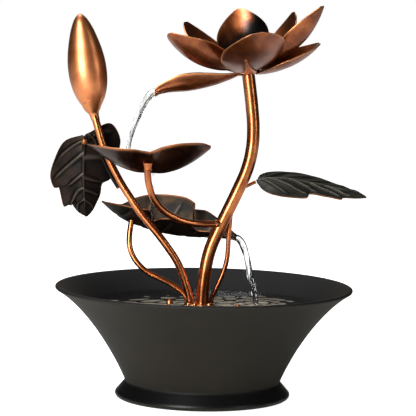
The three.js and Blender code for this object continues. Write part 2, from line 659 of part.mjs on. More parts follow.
function pumpHousing() {
  return cut(
    roundedBlock(HOUSING_WIDTH, PUMP_TOP - PUMP_BOTTOM, HOUSING_FRONT, HOUSING_BACK, ROTOR_HEIGHT, 4),
    rollerY(CHAMBER_RADIUS, HOUSING_FRONT - 1, CHAMBER_END, 0, ROTOR_HEIGHT, 24),
    rollerY(WELL_RADIUS, CHAMBER_END - 1, WELL_END, 0, ROTOR_HEIGHT, 20),
    post(3, ROTOR_HEIGHT, PUMP_TOP + 1, 0, 0, 12),
  );
}
addPart('pump_housing', pumpHousing(), materials.pumpPlastic, pump);

// The outlet nozzle stands on the housing, over the impeller, and the riser hose slips over it
// and over the foot of the main stem.
const nozzleProfile = [
  [3, PUMP_TOP + GAP],
  [6, PUMP_TOP + GAP],
  [6, PUMP_TOP + 1.7],
  [4.2, PUMP_TOP + 1.7],
  [4.2, 46.6],
  [3, 46.6],
  [3, PUMP_TOP + GAP],
];
addPart('outlet_nozzle', turned(nozzleProfile, 14), materials.pumpPlastic, pump);
addPart('riser_hose', ring(MAIN_STEM_RADIUS + GAP, 6.3, 41, 55.4), materials.silicone, pump);

addPart('rotor_magnet', rotorMagnet(), materials.magnet, pump);
addPart('impeller', impeller(), materials.pumpPlastic, pump);

function rotorMagnet() {
  return cut(
    rollerY(6.9, CHAMBER_END - 0.4, WELL_END - 1.6, 0, ROTOR_HEIGHT, 18),
    rollerY(SHAFT_BORE, CHAMBER_END - 2, WELL_END, 0, ROTOR_HEIGHT, 16),
  );
}

// Five straight blades round a hub, turning on the shaft.
function impeller() {
  const front = HOUSING_FRONT + 1;
  const back = CHAMBER_END - 0.8;
  const blades = [];
  for (let i = 0; i < 5; i += 1) {
    const blade = box(7, back - front, 1.4, 5.2, (front + back) / 2, 0).rotateY((i * 2 * Math.PI) / 5);
    blades.push(blade.translate(0, 0, ROTOR_HEIGHT));
  }
  const hub = rollerY(3.6, front, back, 0, ROTOR_HEIGHT, 16);
  return cut(join(hub, ...blades), rollerY(SHAFT_BORE, front - 1, back + 1, 0, ROTOR_HEIGHT, 16));
}

addPart(
  'pump_shaft',
  rollerY(SHAFT_RADIUS, HOUSING_FRONT - 1.6, WELL_END - GAP, 0, ROTOR_HEIGHT, 16),
  materials.steel,
  pump,
);

function bushing(from, to) {
  return cut(
    rollerY(2.6, from, to, 0, ROTOR_HEIGHT, 16),
    rollerY(SHAFT_RADIUS + GAP, from - 1, to + 1, 0, ROTOR_HEIGHT, 16),
  );
}
addPart('rear_bushing', bushing(WELL_END - 1.4, WELL_END - GAP), materials.rubber, pump);

// The impeller cover closes the chamber. Five round holes let the water in round its middle,
// which holds the front bushing.
function impellerCover() {
  const [from, to] = [HOUSING_FRONT - GAP - 2, HOUSING_FRONT - GAP];
  const inlets = [];
  for (let i = 0; i < 5; i += 1) {
    const angle = (i * 2 * Math.PI) / 5;
    const [x, z] = [5.6 * Math.cos(angle), ROTOR_HEIGHT + 5.6 * Math.sin(angle)];
    inlets.push(rollerY(1.6, from - 1, to + 1, x, z, 8));
  }
  return cut(
    rollerY(CHAMBER_RADIUS + 0.9, from, to, 0, ROTOR_HEIGHT, 24),
    rollerY(2.6 + GAP, from - 1, to + 1, 0, ROTOR_HEIGHT, 16),
    ...inlets,
  );
}
addPart('impeller_cover', impellerCover(), materials.pumpPlastic, pump);
addPart('front_bushing', bushing(HOUSING_FRONT - GAP - 2, HOUSING_FRONT - GAP), materials.rubber, pump);

// The strainer is a slotted cap that pulls off forwards. The flow dial turns on its face.
const STRAINER_BACK = HOUSING_FRONT - GAP;
const STRAINER_FRONT = STRAINER_BACK - 9;
function strainerCover() {
  const middle = ROTOR_HEIGHT;
  const slots = [];
  for (const x of [-12, -9, 9, 12]) {
    slots.push(box(1.6, 6, 14, x, STRAINER_FRONT, middle));
  }
  return cut(
    roundedBlock(34, 24, STRAINER_FRONT, STRAINER_BACK, middle, 4),
    roundedBlock(31.6, 21.6, STRAINER_FRONT + 1.6, STRAINER_BACK + 1, middle, 3),
    rollerY(4.6, STRAINER_FRONT - 1, STRAINER_FRONT + 3, 0, middle, 16),
    ...slots,
  );
}
addPart('strainer_cover', strainerCover(), materials.pumpPlastic, pump);

function flowDial() {
  const face = rollerY(6.4, STRAINER_FRONT - 2.3, STRAINER_FRONT - GAP, 0, ROTOR_HEIGHT, 18);
  const boss = rollerY(4.2, STRAINER_FRONT - 1, STRAINER_FRONT + 1.2, 0, ROTOR_HEIGHT, 16);
  const grip = box(1.8, 2, 11, 0, STRAINER_FRONT - 2.9, ROTOR_HEIGHT);
  const port = rollerY(1.1, STRAINER_FRONT - 6, STRAINER_FRONT + 3, 2.6, ROTOR_HEIGHT, 8);
  return cut(join(face, boss, grip), port);
}
addPart('flow_dial', flowDial(), materials.pumpPlastic, pump);

// Four suction cups under the housing hold the pump to the bowl's floor.
const cupProfile = [
  [0, BOWL_FLOOR + 2.2],
  [4.4, BOWL_FLOOR + GAP],
  [5.2, BOWL_FLOOR + GAP],
  [2.4, BOWL_FLOOR + 3.4],
  [2.4, PUMP_BOTTOM - GAP],
  [0, PUMP_BOTTOM - GAP],
];
let cupNumber = 1;
for (const x of [-13, 13]) {
  for (const y of [1, 18]) {
    addPart(`suction_cup_${cupNumber}`, turned(cupProfile, 12, x, y), materials.rubber, pump);
    cupNumber += 1;
  }
}

// The gland where the pump's lead enters, at the back of the housing.
addPart(
  'cord_gland',
  rollerY(3, HOUSING_BACK + GAP, HOUSING_BACK + 5, 12, ROTOR_HEIGHT, 14),
  materials.rubber,
  pump,
);

export default fountain;
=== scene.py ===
import json
import math

import bpy
import numpy as np
from bpy.props import FloatProperty, FloatVectorProperty, PointerProperty
from mathutils import Matrix, Vector, noise

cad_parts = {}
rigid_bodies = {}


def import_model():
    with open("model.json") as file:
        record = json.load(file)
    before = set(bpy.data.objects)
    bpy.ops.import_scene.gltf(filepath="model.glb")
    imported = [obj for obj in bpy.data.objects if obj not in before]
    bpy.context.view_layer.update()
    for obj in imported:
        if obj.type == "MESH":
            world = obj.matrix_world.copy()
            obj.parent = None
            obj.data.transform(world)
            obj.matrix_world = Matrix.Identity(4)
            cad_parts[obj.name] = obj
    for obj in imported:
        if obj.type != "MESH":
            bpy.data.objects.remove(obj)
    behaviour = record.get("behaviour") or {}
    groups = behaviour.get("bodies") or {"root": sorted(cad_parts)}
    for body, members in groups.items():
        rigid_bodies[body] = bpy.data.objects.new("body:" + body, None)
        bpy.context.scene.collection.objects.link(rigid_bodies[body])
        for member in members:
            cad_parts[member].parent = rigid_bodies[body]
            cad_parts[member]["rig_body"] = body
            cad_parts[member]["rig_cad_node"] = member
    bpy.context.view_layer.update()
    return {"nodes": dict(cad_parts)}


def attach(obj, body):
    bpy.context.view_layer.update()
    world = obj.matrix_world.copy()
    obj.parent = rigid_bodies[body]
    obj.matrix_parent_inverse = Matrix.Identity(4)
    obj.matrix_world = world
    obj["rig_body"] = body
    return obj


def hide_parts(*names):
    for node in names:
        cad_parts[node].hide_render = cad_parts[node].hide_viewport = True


bl_info = {
    "name": "Copper lotus fountain",
    "version": (1, 0, 0),
    "blender": (4, 5, 0),
    "location": "3D View > Sidebar > Fountain",
    "description": "Dresses the packed frame of a tabletop lotus fountain with its finished pieces",
    "category": "Add Mesh",
}

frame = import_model()

MM = 0.001
SHEET = 0.8  # mm, copper sheet
WATER_LEVEL = 64.0  # mm above the table
FLOWER_CENTRE = np.array([27.5, 4.0, 227.0])
FLOWER_TILT = math.radians(10)  # towards -X
PETAL_START = 5.0  # mm from the flower's axis
POOL_RADIUS = 84.2  # mm
DENT_SIZE = 9.0  # mm across, the dents of hand-worked sheet
RIM_ROUNDING = 0.22  # mm
DOUBLES = 0.01  # mm within which corners are one
TIP_DOUBLES = 0.3  # mm, at a sheet's pointed tips
RING_DOUBLES = 0.001  # mm, between a turned piece's rings
FLOOR_SIZE = 400  # m
LIGHT_TARGET = (0, 0, 0.14)  # m, the fountain's middle
CAMERA_PLACE = (0, -1.5, 0.277)  # m

# ---------------------------------------------------------------- routes and stations, mm

MAIN_ROUTE = [
    (-1, 4, 47), (-1, 4, 58), (-1, 4, 68), (0.2, 4, 83), (3.3, 4, 100.4), (9.2, 4, 115.5),
    (16.1, 4, 130.3), (22.9, 4, 145.1), (28.2, 4, 158), (31.4, 4, 172), (32.1, 4, 186),
    (30.8, 4, 202), (29, 4, 216), (27.6, 4, 226), (26.8, 4, 230.9),
]
BUD_ROUTE = [
    (-8.6, 2.5, 61), (-9.6, 2.5, 68.6), (-12.1, 2.5, 77.3), (-15.2, 2.5, 86), (-19.4, 2.7, 94.6),
    (-25.2, 3.2, 103.1), (-31.8, 4, 111.6), (-39, 5, 120), (-45.9, 6, 128.5), (-51.8, 7, 137),
    (-57.6, 8, 145.6), (-62.8, 8.8, 154.6), (-67.5, 9.2, 164), (-71.2, 9.5, 173),
    (-74.9, 9.7, 184.5), (-76.9, 10, 191.5), (-77.6, 10, 194.4),
]
DISH_ROUTE = [
    (8.4, -1.2, 120.9), (5.2, -2, 120.7), (-3.4, -4.5, 120.8), (-12, -8, 122.2),
    (-20.5, -11.5, 125.5), (-29.1, -15, 131.2), (-35.2, -18.8, 139.2), (-38.2, -21.6, 147.8),
    (-39.3, -23.2, 155), (-39.4, -24.6, 163),
]
PROP_ROUTE = [
    (-10.4, 9.5, 61), (-12.3, 10.5, 68.4), (-20.1, 11.5, 75), (-31.5, 12.5, 80.9),
    (-39.1, 13.5, 84.4), (-45.8, 14.5, 90), (-49.8, 15.5, 95.6), (-52.1, 16.2, 102),
    (-52.5, 17.2, 108), (-51.6, 19.6, 117.4), (-51.3, 20.4, 119.6),
]
BRACE_ROUTE = [
    (3.8, 11.8, 61), (5.7, 11.5, 67.6), (9.5, 11.2, 76.5), (13.1, 10.8, 85.4), (15.5, 10.4, 94.2),
    (16.3, 10.2, 103), (16.5, 10.2, 111.7), (17.2, 10.2, 120.5), (17.5, 10.2, 127.4),
]
LEFT_WIRE_ROUTE = [
    (-84.4, 14.6, 175.4), (-83.4, 13.7, 178.4), (-81.2, 12.8, 179.7), (-78.6, 12.4, 178.1),
    (-75.9, 12.3, 173.4), (-70.8, 12.2, 161.7), (-65.5, 11.6, 151.3), (-60.3, 10.6, 143),
]
RIGHT_WIRE_ROUTE = [(25, 10.6, 144.6), (28.2, 11.2, 146), (31.6, 11.7, 147.7), (34.6, 12, 149.2)]

# Petals: turn round the flower, length, slope at root and tip, width, cup radius, place of the
# widest point, bluntness, roll, height of the root. Millimetres and degrees.
PETALS = {
    "petal_left": (218, 68, (-4, 63), 38, 14, 1.14, 0.65, 6, 1.7),
    "petal_right": (337, 69, (-2, 64), 33, 12, 1.26, 0.55, -1, 1.4),
    "petal_back": (88, 56, (15, 87), 40, 28, 1.22, 0.72, -4, 1.0),
    "petal_front": (279, 60, (3, 50), 47, 41, 1.21, 0.57, 3, -1.6),
    "petal_left_back": (146, 60, (12, 78), 36, 25, 1.19, 0.64, 6, -1.6),
    "petal_right_back": (38, 58, (11, 67), 32, 30, 1.09, 0.75, -7, -1.6),
    "petal_lower_right": (1, 50, (-7, 40), 40, 28, 1.08, 0.53, 7, -4.0),
}

# Stations of the railed sheets: near edge, midrib, far edge.
SPOUT_STATIONS = [
    ((24, 0.5, 225.2), (24.6, 4, 224.6), (24, 7.5, 225.2)),
    ((11.6, -9.5, 224.4), (11.3, -1.5, 218.7), (11.6, 7, 223.4)),
    ((2.5, -15, 224.8), (0, -4, 215), (2.5, 7.5, 223.8)),
    ((-9, -19, 224.8), (-11.6, -7.5, 212.7), (-9, 4.5, 224.2)),
    ((-18, -19.5, 223.6), (-21, -9.5, 211.9), (-18, 1, 223)),
    ((-26, -17.5, 220.3), (-28, -11, 211.2), (-26, -4, 219.8)),
    ((-32.4, -15.8, 216.4), (-32.6, -12, 210), (-32.4, -8.6, 216)),
    ((-35.6, -14.6, 213.2), (-35.4, -12.8, 208.2), (-35.6, -11, 213)),
]
DISH_STATIONS = [
    ((-81.3, -16.5, 175.7), (-80.8, -15, 175), (-81.2, -13.5, 174.9)),
    ((-76, -24.5, 175.2), (-75.5, -15, 171.4), (-76, -7, 172)),
    ((-68.5, -31, 174.7), (-67.5, -14.5, 165.4), (-68.5, -0.5, 170.3)),
    ((-58.5, -36, 174), (-58.5, -14, 160.5), (-58.5, 4, 168.9)),
    ((-48, -36, 173.5), (-48.5, -13.5, 157), (-48, 4, 167.6)),
    ((-38, -29.5, 171.9), (-38, -13, 156.4), (-38, -2, 164.4)),
    ((-29.5, -35, 175.4), (-29, -13, 156.3), (-29.5, 4, 167.8)),
    ((-20, -37.5, 177.8), (-20, -13.5, 158.7), (-20, 6, 170)),
    ((-10.5, -35, 178.4), (-11, -14, 163.2), (-10.5, 4, 171.2)),
    ((-2.5, -28, 178), (-3.5, -14.5, 168.4), (-2.5, -2.5, 172.4)),
    ((3, -18.5, 175.8), (2.6, -15, 173.6), (3, -11, 173.6)),
]
BASIN_STATIONS = [
    ((-72.6, 25.5, 132.6), (-72.4, 27.5, 132), (-72.4, 29.5, 132.2)),
    ((-65, 19.5, 132), (-64.5, 26, 125.2), (-66, 38, 130)),
    ((-57, 15.5, 130.9), (-56, 25, 119.9), (-59, 48, 128.6)),
    ((-47, 13, 129), (-47.5, 24.6, 116.2), (-50.6, 56, 132.2)),
    ((-38.5, 13, 127.7), (-40.5, 24.2, 113.9), (-42.5, 60, 134.2)),
    ((-35.8, 17, 120.6), (-34.5, 24, 112.3), (-34.5, 62, 134.7)),
    ((-30.5, 13.5, 122.2), (-28, 23.8, 111), (-24, 61, 134.4)),
    ((-20, 12.7, 121.8), (-19, 23.6, 109.7), (-14, 58, 133.2)),
    ((-9.5, 13.6, 117.5), (-10, 23.4, 109), (-7.6, 53, 130)),
    ((-6, 17, 114.3), (-5, 23.1, 108.8), (-7.8, 45, 126.4)),
    ((1.5, 14.6, 113.6), (2, 22.7, 108.7), (0.6, 45.6, 125.2)),
    ((9, 15, 112.4), (10, 22.2, 108.6), (8.6, 39, 121)),
    ((16.8, 16.8, 109.3), (17.8, 21.5, 108), (16, 30, 115.6)),
    ((21.6, 19, 107.2), (22.6, 21.2, 106.7), (22.6, 24, 110.8)),
]
LEFT_LEAF_STATIONS = [
    ((-86, 17.6, 179.2), (-84.6, 17.2, 178.4), (-83, 17.6, 180)),
    ((-98.5, 21.5, 174.4), (-84.7, 16.6, 172), (-67, 21.5, 187.4)),
    ((-106, 24, 160.5), (-85, 16.6, 163), (-60, 21.5, 177)),
    ((-108.4, 24.2, 149), (-85, 17, 154), (-62.5, 21.5, 162)),
    ((-105.3, 23.6, 141.5), (-84.8, 17.3, 147), (-66.6, 21.5, 148.5)),
    ((-103.2, 23.2, 143.2), (-84.5, 17.6, 142), (-71.6, 21, 146)),
    ((-98.4, 22.6, 128.5), (-84.2, 18, 137), (-73.2, 21, 138)),
    ((-95.2, 22, 132.5), (-83.8, 18.6, 132), (-75.6, 20.8, 132)),
    ((-89, 21, 125.6), (-83.3, 19.4, 127), (-78.6, 20.6, 126)),
    ((-83.6, 20.6, 122.4), (-82.8, 20.4, 122), (-82, 20.6, 122.4)),
]
RIGHT_LEAF_STATIONS = [
    ((35.6, 10.8, 148.6), (35.2, 12, 149.6), (35.6, 13.2, 150.6)),
    ((39, 2.5, 144.8), (41, 11.8, 150.9), (38.6, 21, 153.6)),
    ((46, -5.5, 142.2), (50, 11.4, 151), (48, 28.5, 154.9)),
    ((57, -10.5, 140.9), (61, 11, 150.5), (63.5, 31, 154.2)),
    ((69.2, -11.5, 140.7), (70, 10.2, 148.8), (76.8, 29, 151.7)),
    ((71, -6, 142.7), (76, 9.6, 147.8), (84, 26.5, 149.8)),
    ((82, -8, 141.6), (83, 8.8, 146.6), (91, 23, 147.5)),
    ((92.8, -8.6, 139.7), (90, 8, 145.2), (97, 18.8, 146)),
    ((94.8, -4.6, 140.6), (96, 7.2, 143.8), (102.2, 15, 144.2)),
    ((103, -1.8, 140.2), (104, 6.2, 142), (107.6, 10, 142.3)),
    ((110.8, 4, 140.1), (111.1, 5, 140.3), (110.9, 6, 140.6)),
]

# The bud in its own frame: radius and height over its seat.
BUD_SEAT = np.array([-78.4, 10.0, 196.0])
BUD_LEAN = math.radians(8.6)  # towards -X
BUD_DEPTH = 0.8
BUD_PROFILE = [
    (4.2, 0.4), (5.4, 2.2), (7.4, 5.6), (9.4, 9.4), (11.4, 15.3), (12.6, 22.3), (12.9, 29.2),
    (12.5, 36.1), (11.4, 43), (9.7, 50), (7.6, 56.9), (4.6, 63.6), (2.2, 66.6), (0.5, 67.8),
]

# The three falls of water.
FLOWER_FALL = [
    (-31, -12.6, 211.5), (-36.4, -13, 211), (-40.8, -13.8, 206.2), (-44.1, -14.3, 200.7),
    (-48, -15, 191.2), (-50.9, -15.4, 183), (-53.1, -15.8, 172.8), (-53.9, -16, 161.5),
]
DISH_FALL = [
    (-37.6, -4, 165.2), (-37, -0.5, 164.8), (-36.5, 2, 162), (-36.3, 3.5, 156), (-36.3, 5.5, 145),
    (-36.3, 8.5, 132), (-36.3, 12, 121.5),
]
LEAF_FALL = [
    (17, 21.2, 109.2), (22.9, 20.6, 108.8), (27.2, 19, 102.5), (30.2, 17, 92.3),
    (32.7, 14.5, 82.1), (34.9, 12.5, 73.3), (36.6, 11.4, 63.6),
]

# ---------------------------------------------------------------- small tools


def linear(colour):
    """An sRGB hex colour as linear red, green and blue. A property's colour is linear already."""
    if not isinstance(colour, str):
        return colour
    values = [int(colour[i:i + 2], 16) / 255 for i in (1, 3, 5)]
    return [v / 12.92 if v <= 0.04045 else ((v + 0.055) / 1.055) ** 2.4 for v in values]


def set_inputs(tree, node, inputs):
    """Sets a node's inputs. A socket given for one is linked to it, a node is linked by its first
    live output, and a hex colour is turned to linear."""
    for key, value in inputs.items():
        if isinstance(value, bpy.types.Node):
            value = next(socket for socket in value.outputs if socket.enabled)
        if isinstance(value, bpy.types.NodeSocket):
            tree.links.new(value, node.inputs[key])
        else:
            rgba = isinstance(value, str)
            node.inputs[key].default_value = (*linear(value), 1) if rgba else value


def add_node(tree, kind, inputs=None, stops=(), **settings):
    """Adds a node with its settings, its inputs and, if it is a colour ramp, its stops."""
    node = tree.nodes.new(kind)
    for key, value in settings.items():
        setattr(node, key, value)
    set_inputs(tree, node, inputs or {})
    if stops:
        elements = node.color_ramp.elements
        while len(elements) < len(stops):
            elements.new(0.5)
        for element, (position, colour) in zip(elements, stops):
            element.position, element.color = position, (*linear(colour), 1)
    return node


def new_material(name):
    """A material with one Principled shader, and its tree and coordinates."""
    material = bpy.data.materials.new(name)
    material.use_nodes = True
    tree = material.node_tree
    tree.nodes.clear()
    shader = add_node(tree, "ShaderNodeBsdfPrincipled")
    add_node(tree, "ShaderNodeOutputMaterial", {"Surface": shader})
    coordinates = add_node(tree, "ShaderNodeTexCoord").outputs
    return material, tree, shader, coordinates


def deselect():
    bpy.ops.object.select_all(action="DESELECT")


def finish_piece(piece, name, kind, nodes, body="sculpture", smooth=40):
    """Settles a finished piece: its name, shading, finish, body and CAD nodes."""
    piece.name = name
    piece.data.name = name
    deselect()
    piece.select_set(True)
    bpy.context.view_layer.objects.active = piece
    bpy.ops.object.transform_apply(location=True, rotation=True, scale=True)
    bpy.ops.object.shade_smooth_by_angle(angle=math.radians(smooth))
    piece.data.materials.clear()
    piece.data.materials.append(finish(kind))
    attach(piece, body)
    if nodes:
        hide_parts(*nodes)


def apply_modifier(piece, kind, **settings):
    modifier = piece.modifiers.new(kind.title(), kind)
    for key, value in settings.items():
        setattr(modifier, key, value)
    bpy.context.view_layer.objects.active = piece
    bpy.ops.object.modifier_apply(modifier=modifier.name)


def vertex_rows(piece, key):
    """Each vertex's "co", in metres, or its "normal"."""
    values = np.zeros(len(piece.data.vertices) * 3, np.float32)
    piece.data.vertices.foreach_get(key, values)
    return values.reshape(-1, 3).astype(float)


def points_of(piece):
    """The piece's vertices, in millimetres."""
    return vertex_rows(piece, "co") / MM


def set_points(piece, points):
    """Moves the piece's vertices to the points, in millimetres."""
    piece.data.vertices.foreach_set("co", (points * MM).astype(np.float32).ravel())
    piece.data.update()


def mark(piece, name, values):
    """Stores a number on each vertex, for a finish to read."""
    attribute = piece.data.attributes.new(name, "FLOAT", "POINT")
    attribute.data.foreach_set("value", values.astype(np.float32))


def merge_and_face_outwards():
    """Merges the active piece's doubles, then turns its faces outwards."""
    bpy.ops.object.mode_set(mode="EDIT")
    bpy.ops.mesh.select_all(action="SELECT")
    bpy.ops.mesh.remove_doubles(threshold=DOUBLES * MM)
    bpy.ops.mesh.normals_make_consistent(inside=False)
    bpy.ops.object.mode_set(mode="OBJECT")


def wobble(points, size, amount, seed):
    """Smooth noise at each point, from -amount to amount, with bumps about `size` across."""
    offset = Vector((seed, seed * 2.7, -seed))
    return np.array([noise.noise(Vector(p) / size + offset) for p in points]) * amount


# ---------------------------------------------------------------- surfaces


def spline(points, t):
    """Points at t, from 0 to 1, on a centripetal Catmull-Rom curve."""
    points = np.asarray(points, float)
    padded = np.vstack([2 * points[0] - points[1], points, 2 * points[-1] - points[-2]])
    place = np.clip(np.asarray(t, float), 0, 1) * (len(points) - 1)
    index = np.minimum(place.astype(int), len(points) - 2)
    x = (place - index)[:, None]
    p0, p1, p2, p3 = (padded[index + k] for k in range(4))

    def gap(a, b):
        return np.maximum(np.linalg.norm(b - a, axis=1), 1e-8)[:, None] ** 0.5

    d0, d1, d2 = gap(p0, p1), gap(p1, p2), gap(p2, p3)
    start = ((p1 - p0) / d0 - (p2 - p0) / (d0 + d1) + (p2 - p1) / d1) * d1
    end = ((p2 - p1) / d1 - (p3 - p1) / (d1 + d2) + (p3 - p2) / d2) * d1
    c2 = -3 * p1 + 3 * p2 - 2 * start - end
    c3 = 2 * p1 - 2 * p2 + start + end
    return p1 + start * x + c2 * x ** 2 + c3 * x ** 3


def railed(stations, depth, bow):
    """A surface on three rails; its edges rise along `depth` as the power `bow`."""
    near, mid, far = (np.array([s[k] for s in stations], float) for k in range(3))
    depth = np.array(depth, float)

    def surface(s, t):
        centre = spline(mid, t)
        edge = np.where((s < 0)[:, None], spline(near, t), spline(far, t)) - centre
        rise = (edge @ depth)[:, None] * depth
        reach = np.abs(s)[:, None]
        return centre + (edge - rise) * reach + rise * reach ** bow

    return surface


def petal(turn, length, slope, width, cup, peak, blunt, roll, base):
    """A cupped petal's surface, in the row frame."""
    turn, roll = math.radians(turn), math.radians(roll)
    start, end = (math.radians(a) for a in slope)
    axis = np.array([-math.sin(FLOWER_TILT), 0, math.cos(FLOWER_TILT)])
    east = np.array([math.cos(FLOWER_TILT), 0, math.sin(FLOWER_TILT)])
    north = np.array([0.0, 1.0, 0.0])
    outward = math.cos(turn) * east + math.sin(turn) * north
    sideways = -math.sin(turn) * east + math.cos(turn) * north

    def surface(s, t):
        climb = start + (end - start) * t
        reach = PETAL_START + length * (np.sin(climb) - math.sin(start)) / (end - start)
        height = base - length * (np.cos(climb) - math.cos(start)) / (end - start)
        half = width / 2 * np.sin(math.pi * (0.04 + 0.95 * t) ** peak) ** blunt
        bend = s * half / cup
        flat_side, flat_rise = cup * np.sin(bend), cup * (1 - np.cos(bend))
        twist = roll * np.minimum(2 * t, 1)
        side = flat_side * np.cos(twist) - flat_rise * np.sin(twist)
        rise = flat_side * np.sin(twist) + flat_rise * np.cos(twist)
        out, up = reach - np.sin(climb) * rise, height + np.cos(climb) * rise
        places = ((out, outward), (side, sideways), (up, axis))
        return FLOWER_CENTRE + sum(far[:, None] * way for far, way in places)

    return surface


def normals_of(surface, s, t, step=2e-3):
    across = surface(np.minimum(s + step, 1), t) - surface(np.maximum(s - step, -1), t)
    along = surface(s, np.minimum(t + step, 1)) - surface(s, np.maximum(t - step, 0))
    normal = np.cross(along, across)
    return normal / np.maximum(np.linalg.norm(normal, axis=1), 1e-9)[:, None]


def ridges(s, t, veins, spread):
    """Height of raised veins, 0 to 1. A vein is (side, root, rise, bend, strength): it leaves the
    midrib at t = root, and has climbed by `rise` at that side's edge. Side 0 is the midrib."""
    height = np.zeros_like(s)
    for side, root, rise, bend, strength in veins:
        if side == 0:
            crest = np.exp(-(s / (spread * 1.3)) ** 2) * np.clip((1 - t) * 4, 0, 1)
        else:
            reach = np.clip(s * side, 0, 1)
            distance = t - (root + rise * reach ** bend)
            fade = np.clip((0.96 - reach) * 6, 0, 1) * np.clip(s * side * 30 + 0.3, 0, 1)
            crest = np.exp(-(distance / (spread * (1 - 0.45 * reach))) ** 2) * fade
        height = np.maximum(height, crest * strength)
    return height


# ---------------------------------------------------------------- piece makers


def bent_sheet(surface, across, along, wave, seed, relief=None, thickness=None, hollow=1):
    """A grid bent onto surface(s, t), raised by relief(s, t), with dents `wave` deep, then given
    its thickness and a rounded rim. Its UV map runs across and along the sheet, and its
    attributes mark the veins' crests and the hollow side, which is the side its normals face if
    `hollow` is 1."""
    thickness = thickness or bpy.context.scene.fountain_sizes.sheet_thickness / MM
    deselect()
    bpy.ops.mesh.primitive_grid_add(
        x_subdivisions=across, y_subdivisions=along, size=2, calc_uvs=True)
    piece = bpy.context.active_object
    flat = vertex_rows(piece, "co")
    s, t = flat[:, 0], (flat[:, 1] + 1) / 2
    points = surface(s, t)
    normal = normals_of(surface, s, t)
    height = relief(s, t) if relief else np.zeros_like(s)
    lift = height + wobble(points, DENT_SIZE, wave, seed)
    set_points(piece, points + normal * lift[:, None])
    mark(piece, "crest", height / max(float(height.max()), 1e-6))
    bpy.ops.object.mode_set(mode="EDIT")
    bpy.ops.mesh.select_all(action="SELECT")
    bpy.ops.mesh.normals_make_consistent(inside=False)
    bpy.ops.object.mode_set(mode="OBJECT")
    facing = math.copysign(1, hollow * float((vertex_rows(piece, "normal") * normal).sum()))
    bpy.ops.object.mode_set(mode="EDIT")
    bpy.ops.mesh.remove_doubles(threshold=TIP_DOUBLES * MM)
    bpy.ops.object.mode_set(mode="OBJECT")
    outward = vertex_rows(piece, "normal") * facing
    apply_modifier(
        piece, "SOLIDIFY", thickness=thickness * MM, offset=0, use_even_offset=False)
    # Solidify keeps the first skin's vertices and adds the second's in the same order.
    first, second = np.split(points_of(piece)[:2 * len(outward)], 2)
    above = ((first - second) * outward).sum(axis=1) > 0
    mark(piece, "inside", np.concatenate([above, ~above]))
    apply_modifier(
        piece, "BEVEL", width=RIM_ROUNDING * MM, segments=2, limit_method="ANGLE",
        angle_limit=math.radians(50))
    return piece


def bent_tube(route, radius, radii=None, resolution=10):
    """A bevelled curve along the route, made a mesh. Its radii scale its radius at each point."""
    deselect()
    bpy.ops.curve.primitive_bezier_curve_add()
    curve = bpy.context.active_object.data
    curve.dimensions = "3D"
    curve.resolution_u = resolution
    curve.bevel_depth = radius * MM
    curve.bevel_resolution = 5
    curve.use_fill_caps = True
    points = curve.splines[0].bezier_points
    points.add(len(route) - 2)
    for point, place, scale in zip(points, route, radii or [1.0] * len(route)):
        point.co = Vector(place) * MM
        point.handle_left_type = point.handle_right_type = "AUTO"
        point.radius = scale
    bpy.ops.object.convert(target="MESH")
    merge_and_face_outwards()
    return bpy.context.active_object


def turned(profile, sides, centre=(0, 0)):
    """A ring extruded and resized through the profile's (radius, height) rows, and closed at
    both ends."""
    deselect()
    x, y = centre[0] * MM, centre[1] * MM
    radius, height = profile[0]
    bpy.ops.mesh.primitive_circle_add(
        vertices=sides, radius=radius * MM, fill_type="NOTHING", location=(x, y, height * MM))
    piece = bpy.context.active_object
    bpy.ops.object.mode_set(mode="EDIT")
    for (r0, z0), (r1, z1) in zip(profile, profile[1:]):
        bpy.ops.mesh.extrude_region_move(
            TRANSFORM_OT_translate={"value": (0, 0, (z1 - z0) * MM)})
        bpy.ops.transform.resize(
            value=(r1 / r0, r1 / r0, 1), center_override=(x, y, z1 * MM))
    bpy.ops.mesh.select_all(action="SELECT")
    bpy.ops.mesh.remove_doubles(threshold=RING_DOUBLES * MM)
    bpy.ops.mesh.select_all(action="DESELECT")
    bpy.ops.mesh.select_mode(type="EDGE")
    bpy.ops.mesh.select_non_manifold(extend=False)
    bpy.ops.mesh.edge_face_add()
    bpy.ops.mesh.select_all(action="SELECT")
    bpy.ops.mesh.normals_make_consistent(inside=False)
    bpy.ops.mesh.select_mode(type="VERT")
    bpy.ops.object.mode_set(mode="OBJECT")
    bpy.ops.object.transform_apply(location=True, rotation=False, scale=False)
    return piece


def duplicate(source):
    """A copy of an object, with its own mesh."""
    deselect()
    source.select_set(True)
    bpy.context.view_layer.objects.active = source
    bpy.ops.object.duplicate()
    return bpy.context.active_object


def merged_copy(node):
    """A copy of a CAD node with its loose triangles merged."""
    source = frame["nodes"][node]
    hidden = source.hide_viewport
    source.hide_viewport = False
    piece = duplicate(source)
    source.hide_viewport = hidden
    piece.parent = None
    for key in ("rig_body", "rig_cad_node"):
        if key in piece:
            del piece[key]
    bpy.ops.mesh.customdata_custom_splitnormals_clear()
    merge_and_face_outwards()
    return piece


def brazed_copy(node, voxel):
    """A CAD node's copy with its edges flowed round, as brazing alloy sets."""
    piece = merged_copy(node)
    apply_modifier(piece, "REMESH", mode="VOXEL", voxel_size=voxel * MM, use_smooth_shade=True)
    apply_modifier(piece, "SMOOTH", factor=0.5, iterations=6)
    return piece


def moulded_copy(node, bevel):
    """A CAD node's copy with its edges rounded, as a moulding or a pressing has them."""
    piece = merged_copy(node)
    bpy.ops.object.mode_set(mode="EDIT")
    bpy.ops.mesh.select_all(action="SELECT")
    bpy.ops.mesh.dissolve_limited(angle_limit=math.radians(1))
    bpy.ops.object.mode_set(mode="OBJECT")
    apply_modifier(
        piece, "BEVEL", width=bevel * MM, segments=2, limit_method="ANGLE",
        angle_limit=math.radians(40), use_clamp_overlap=True, harden_normals=False)
    return piece


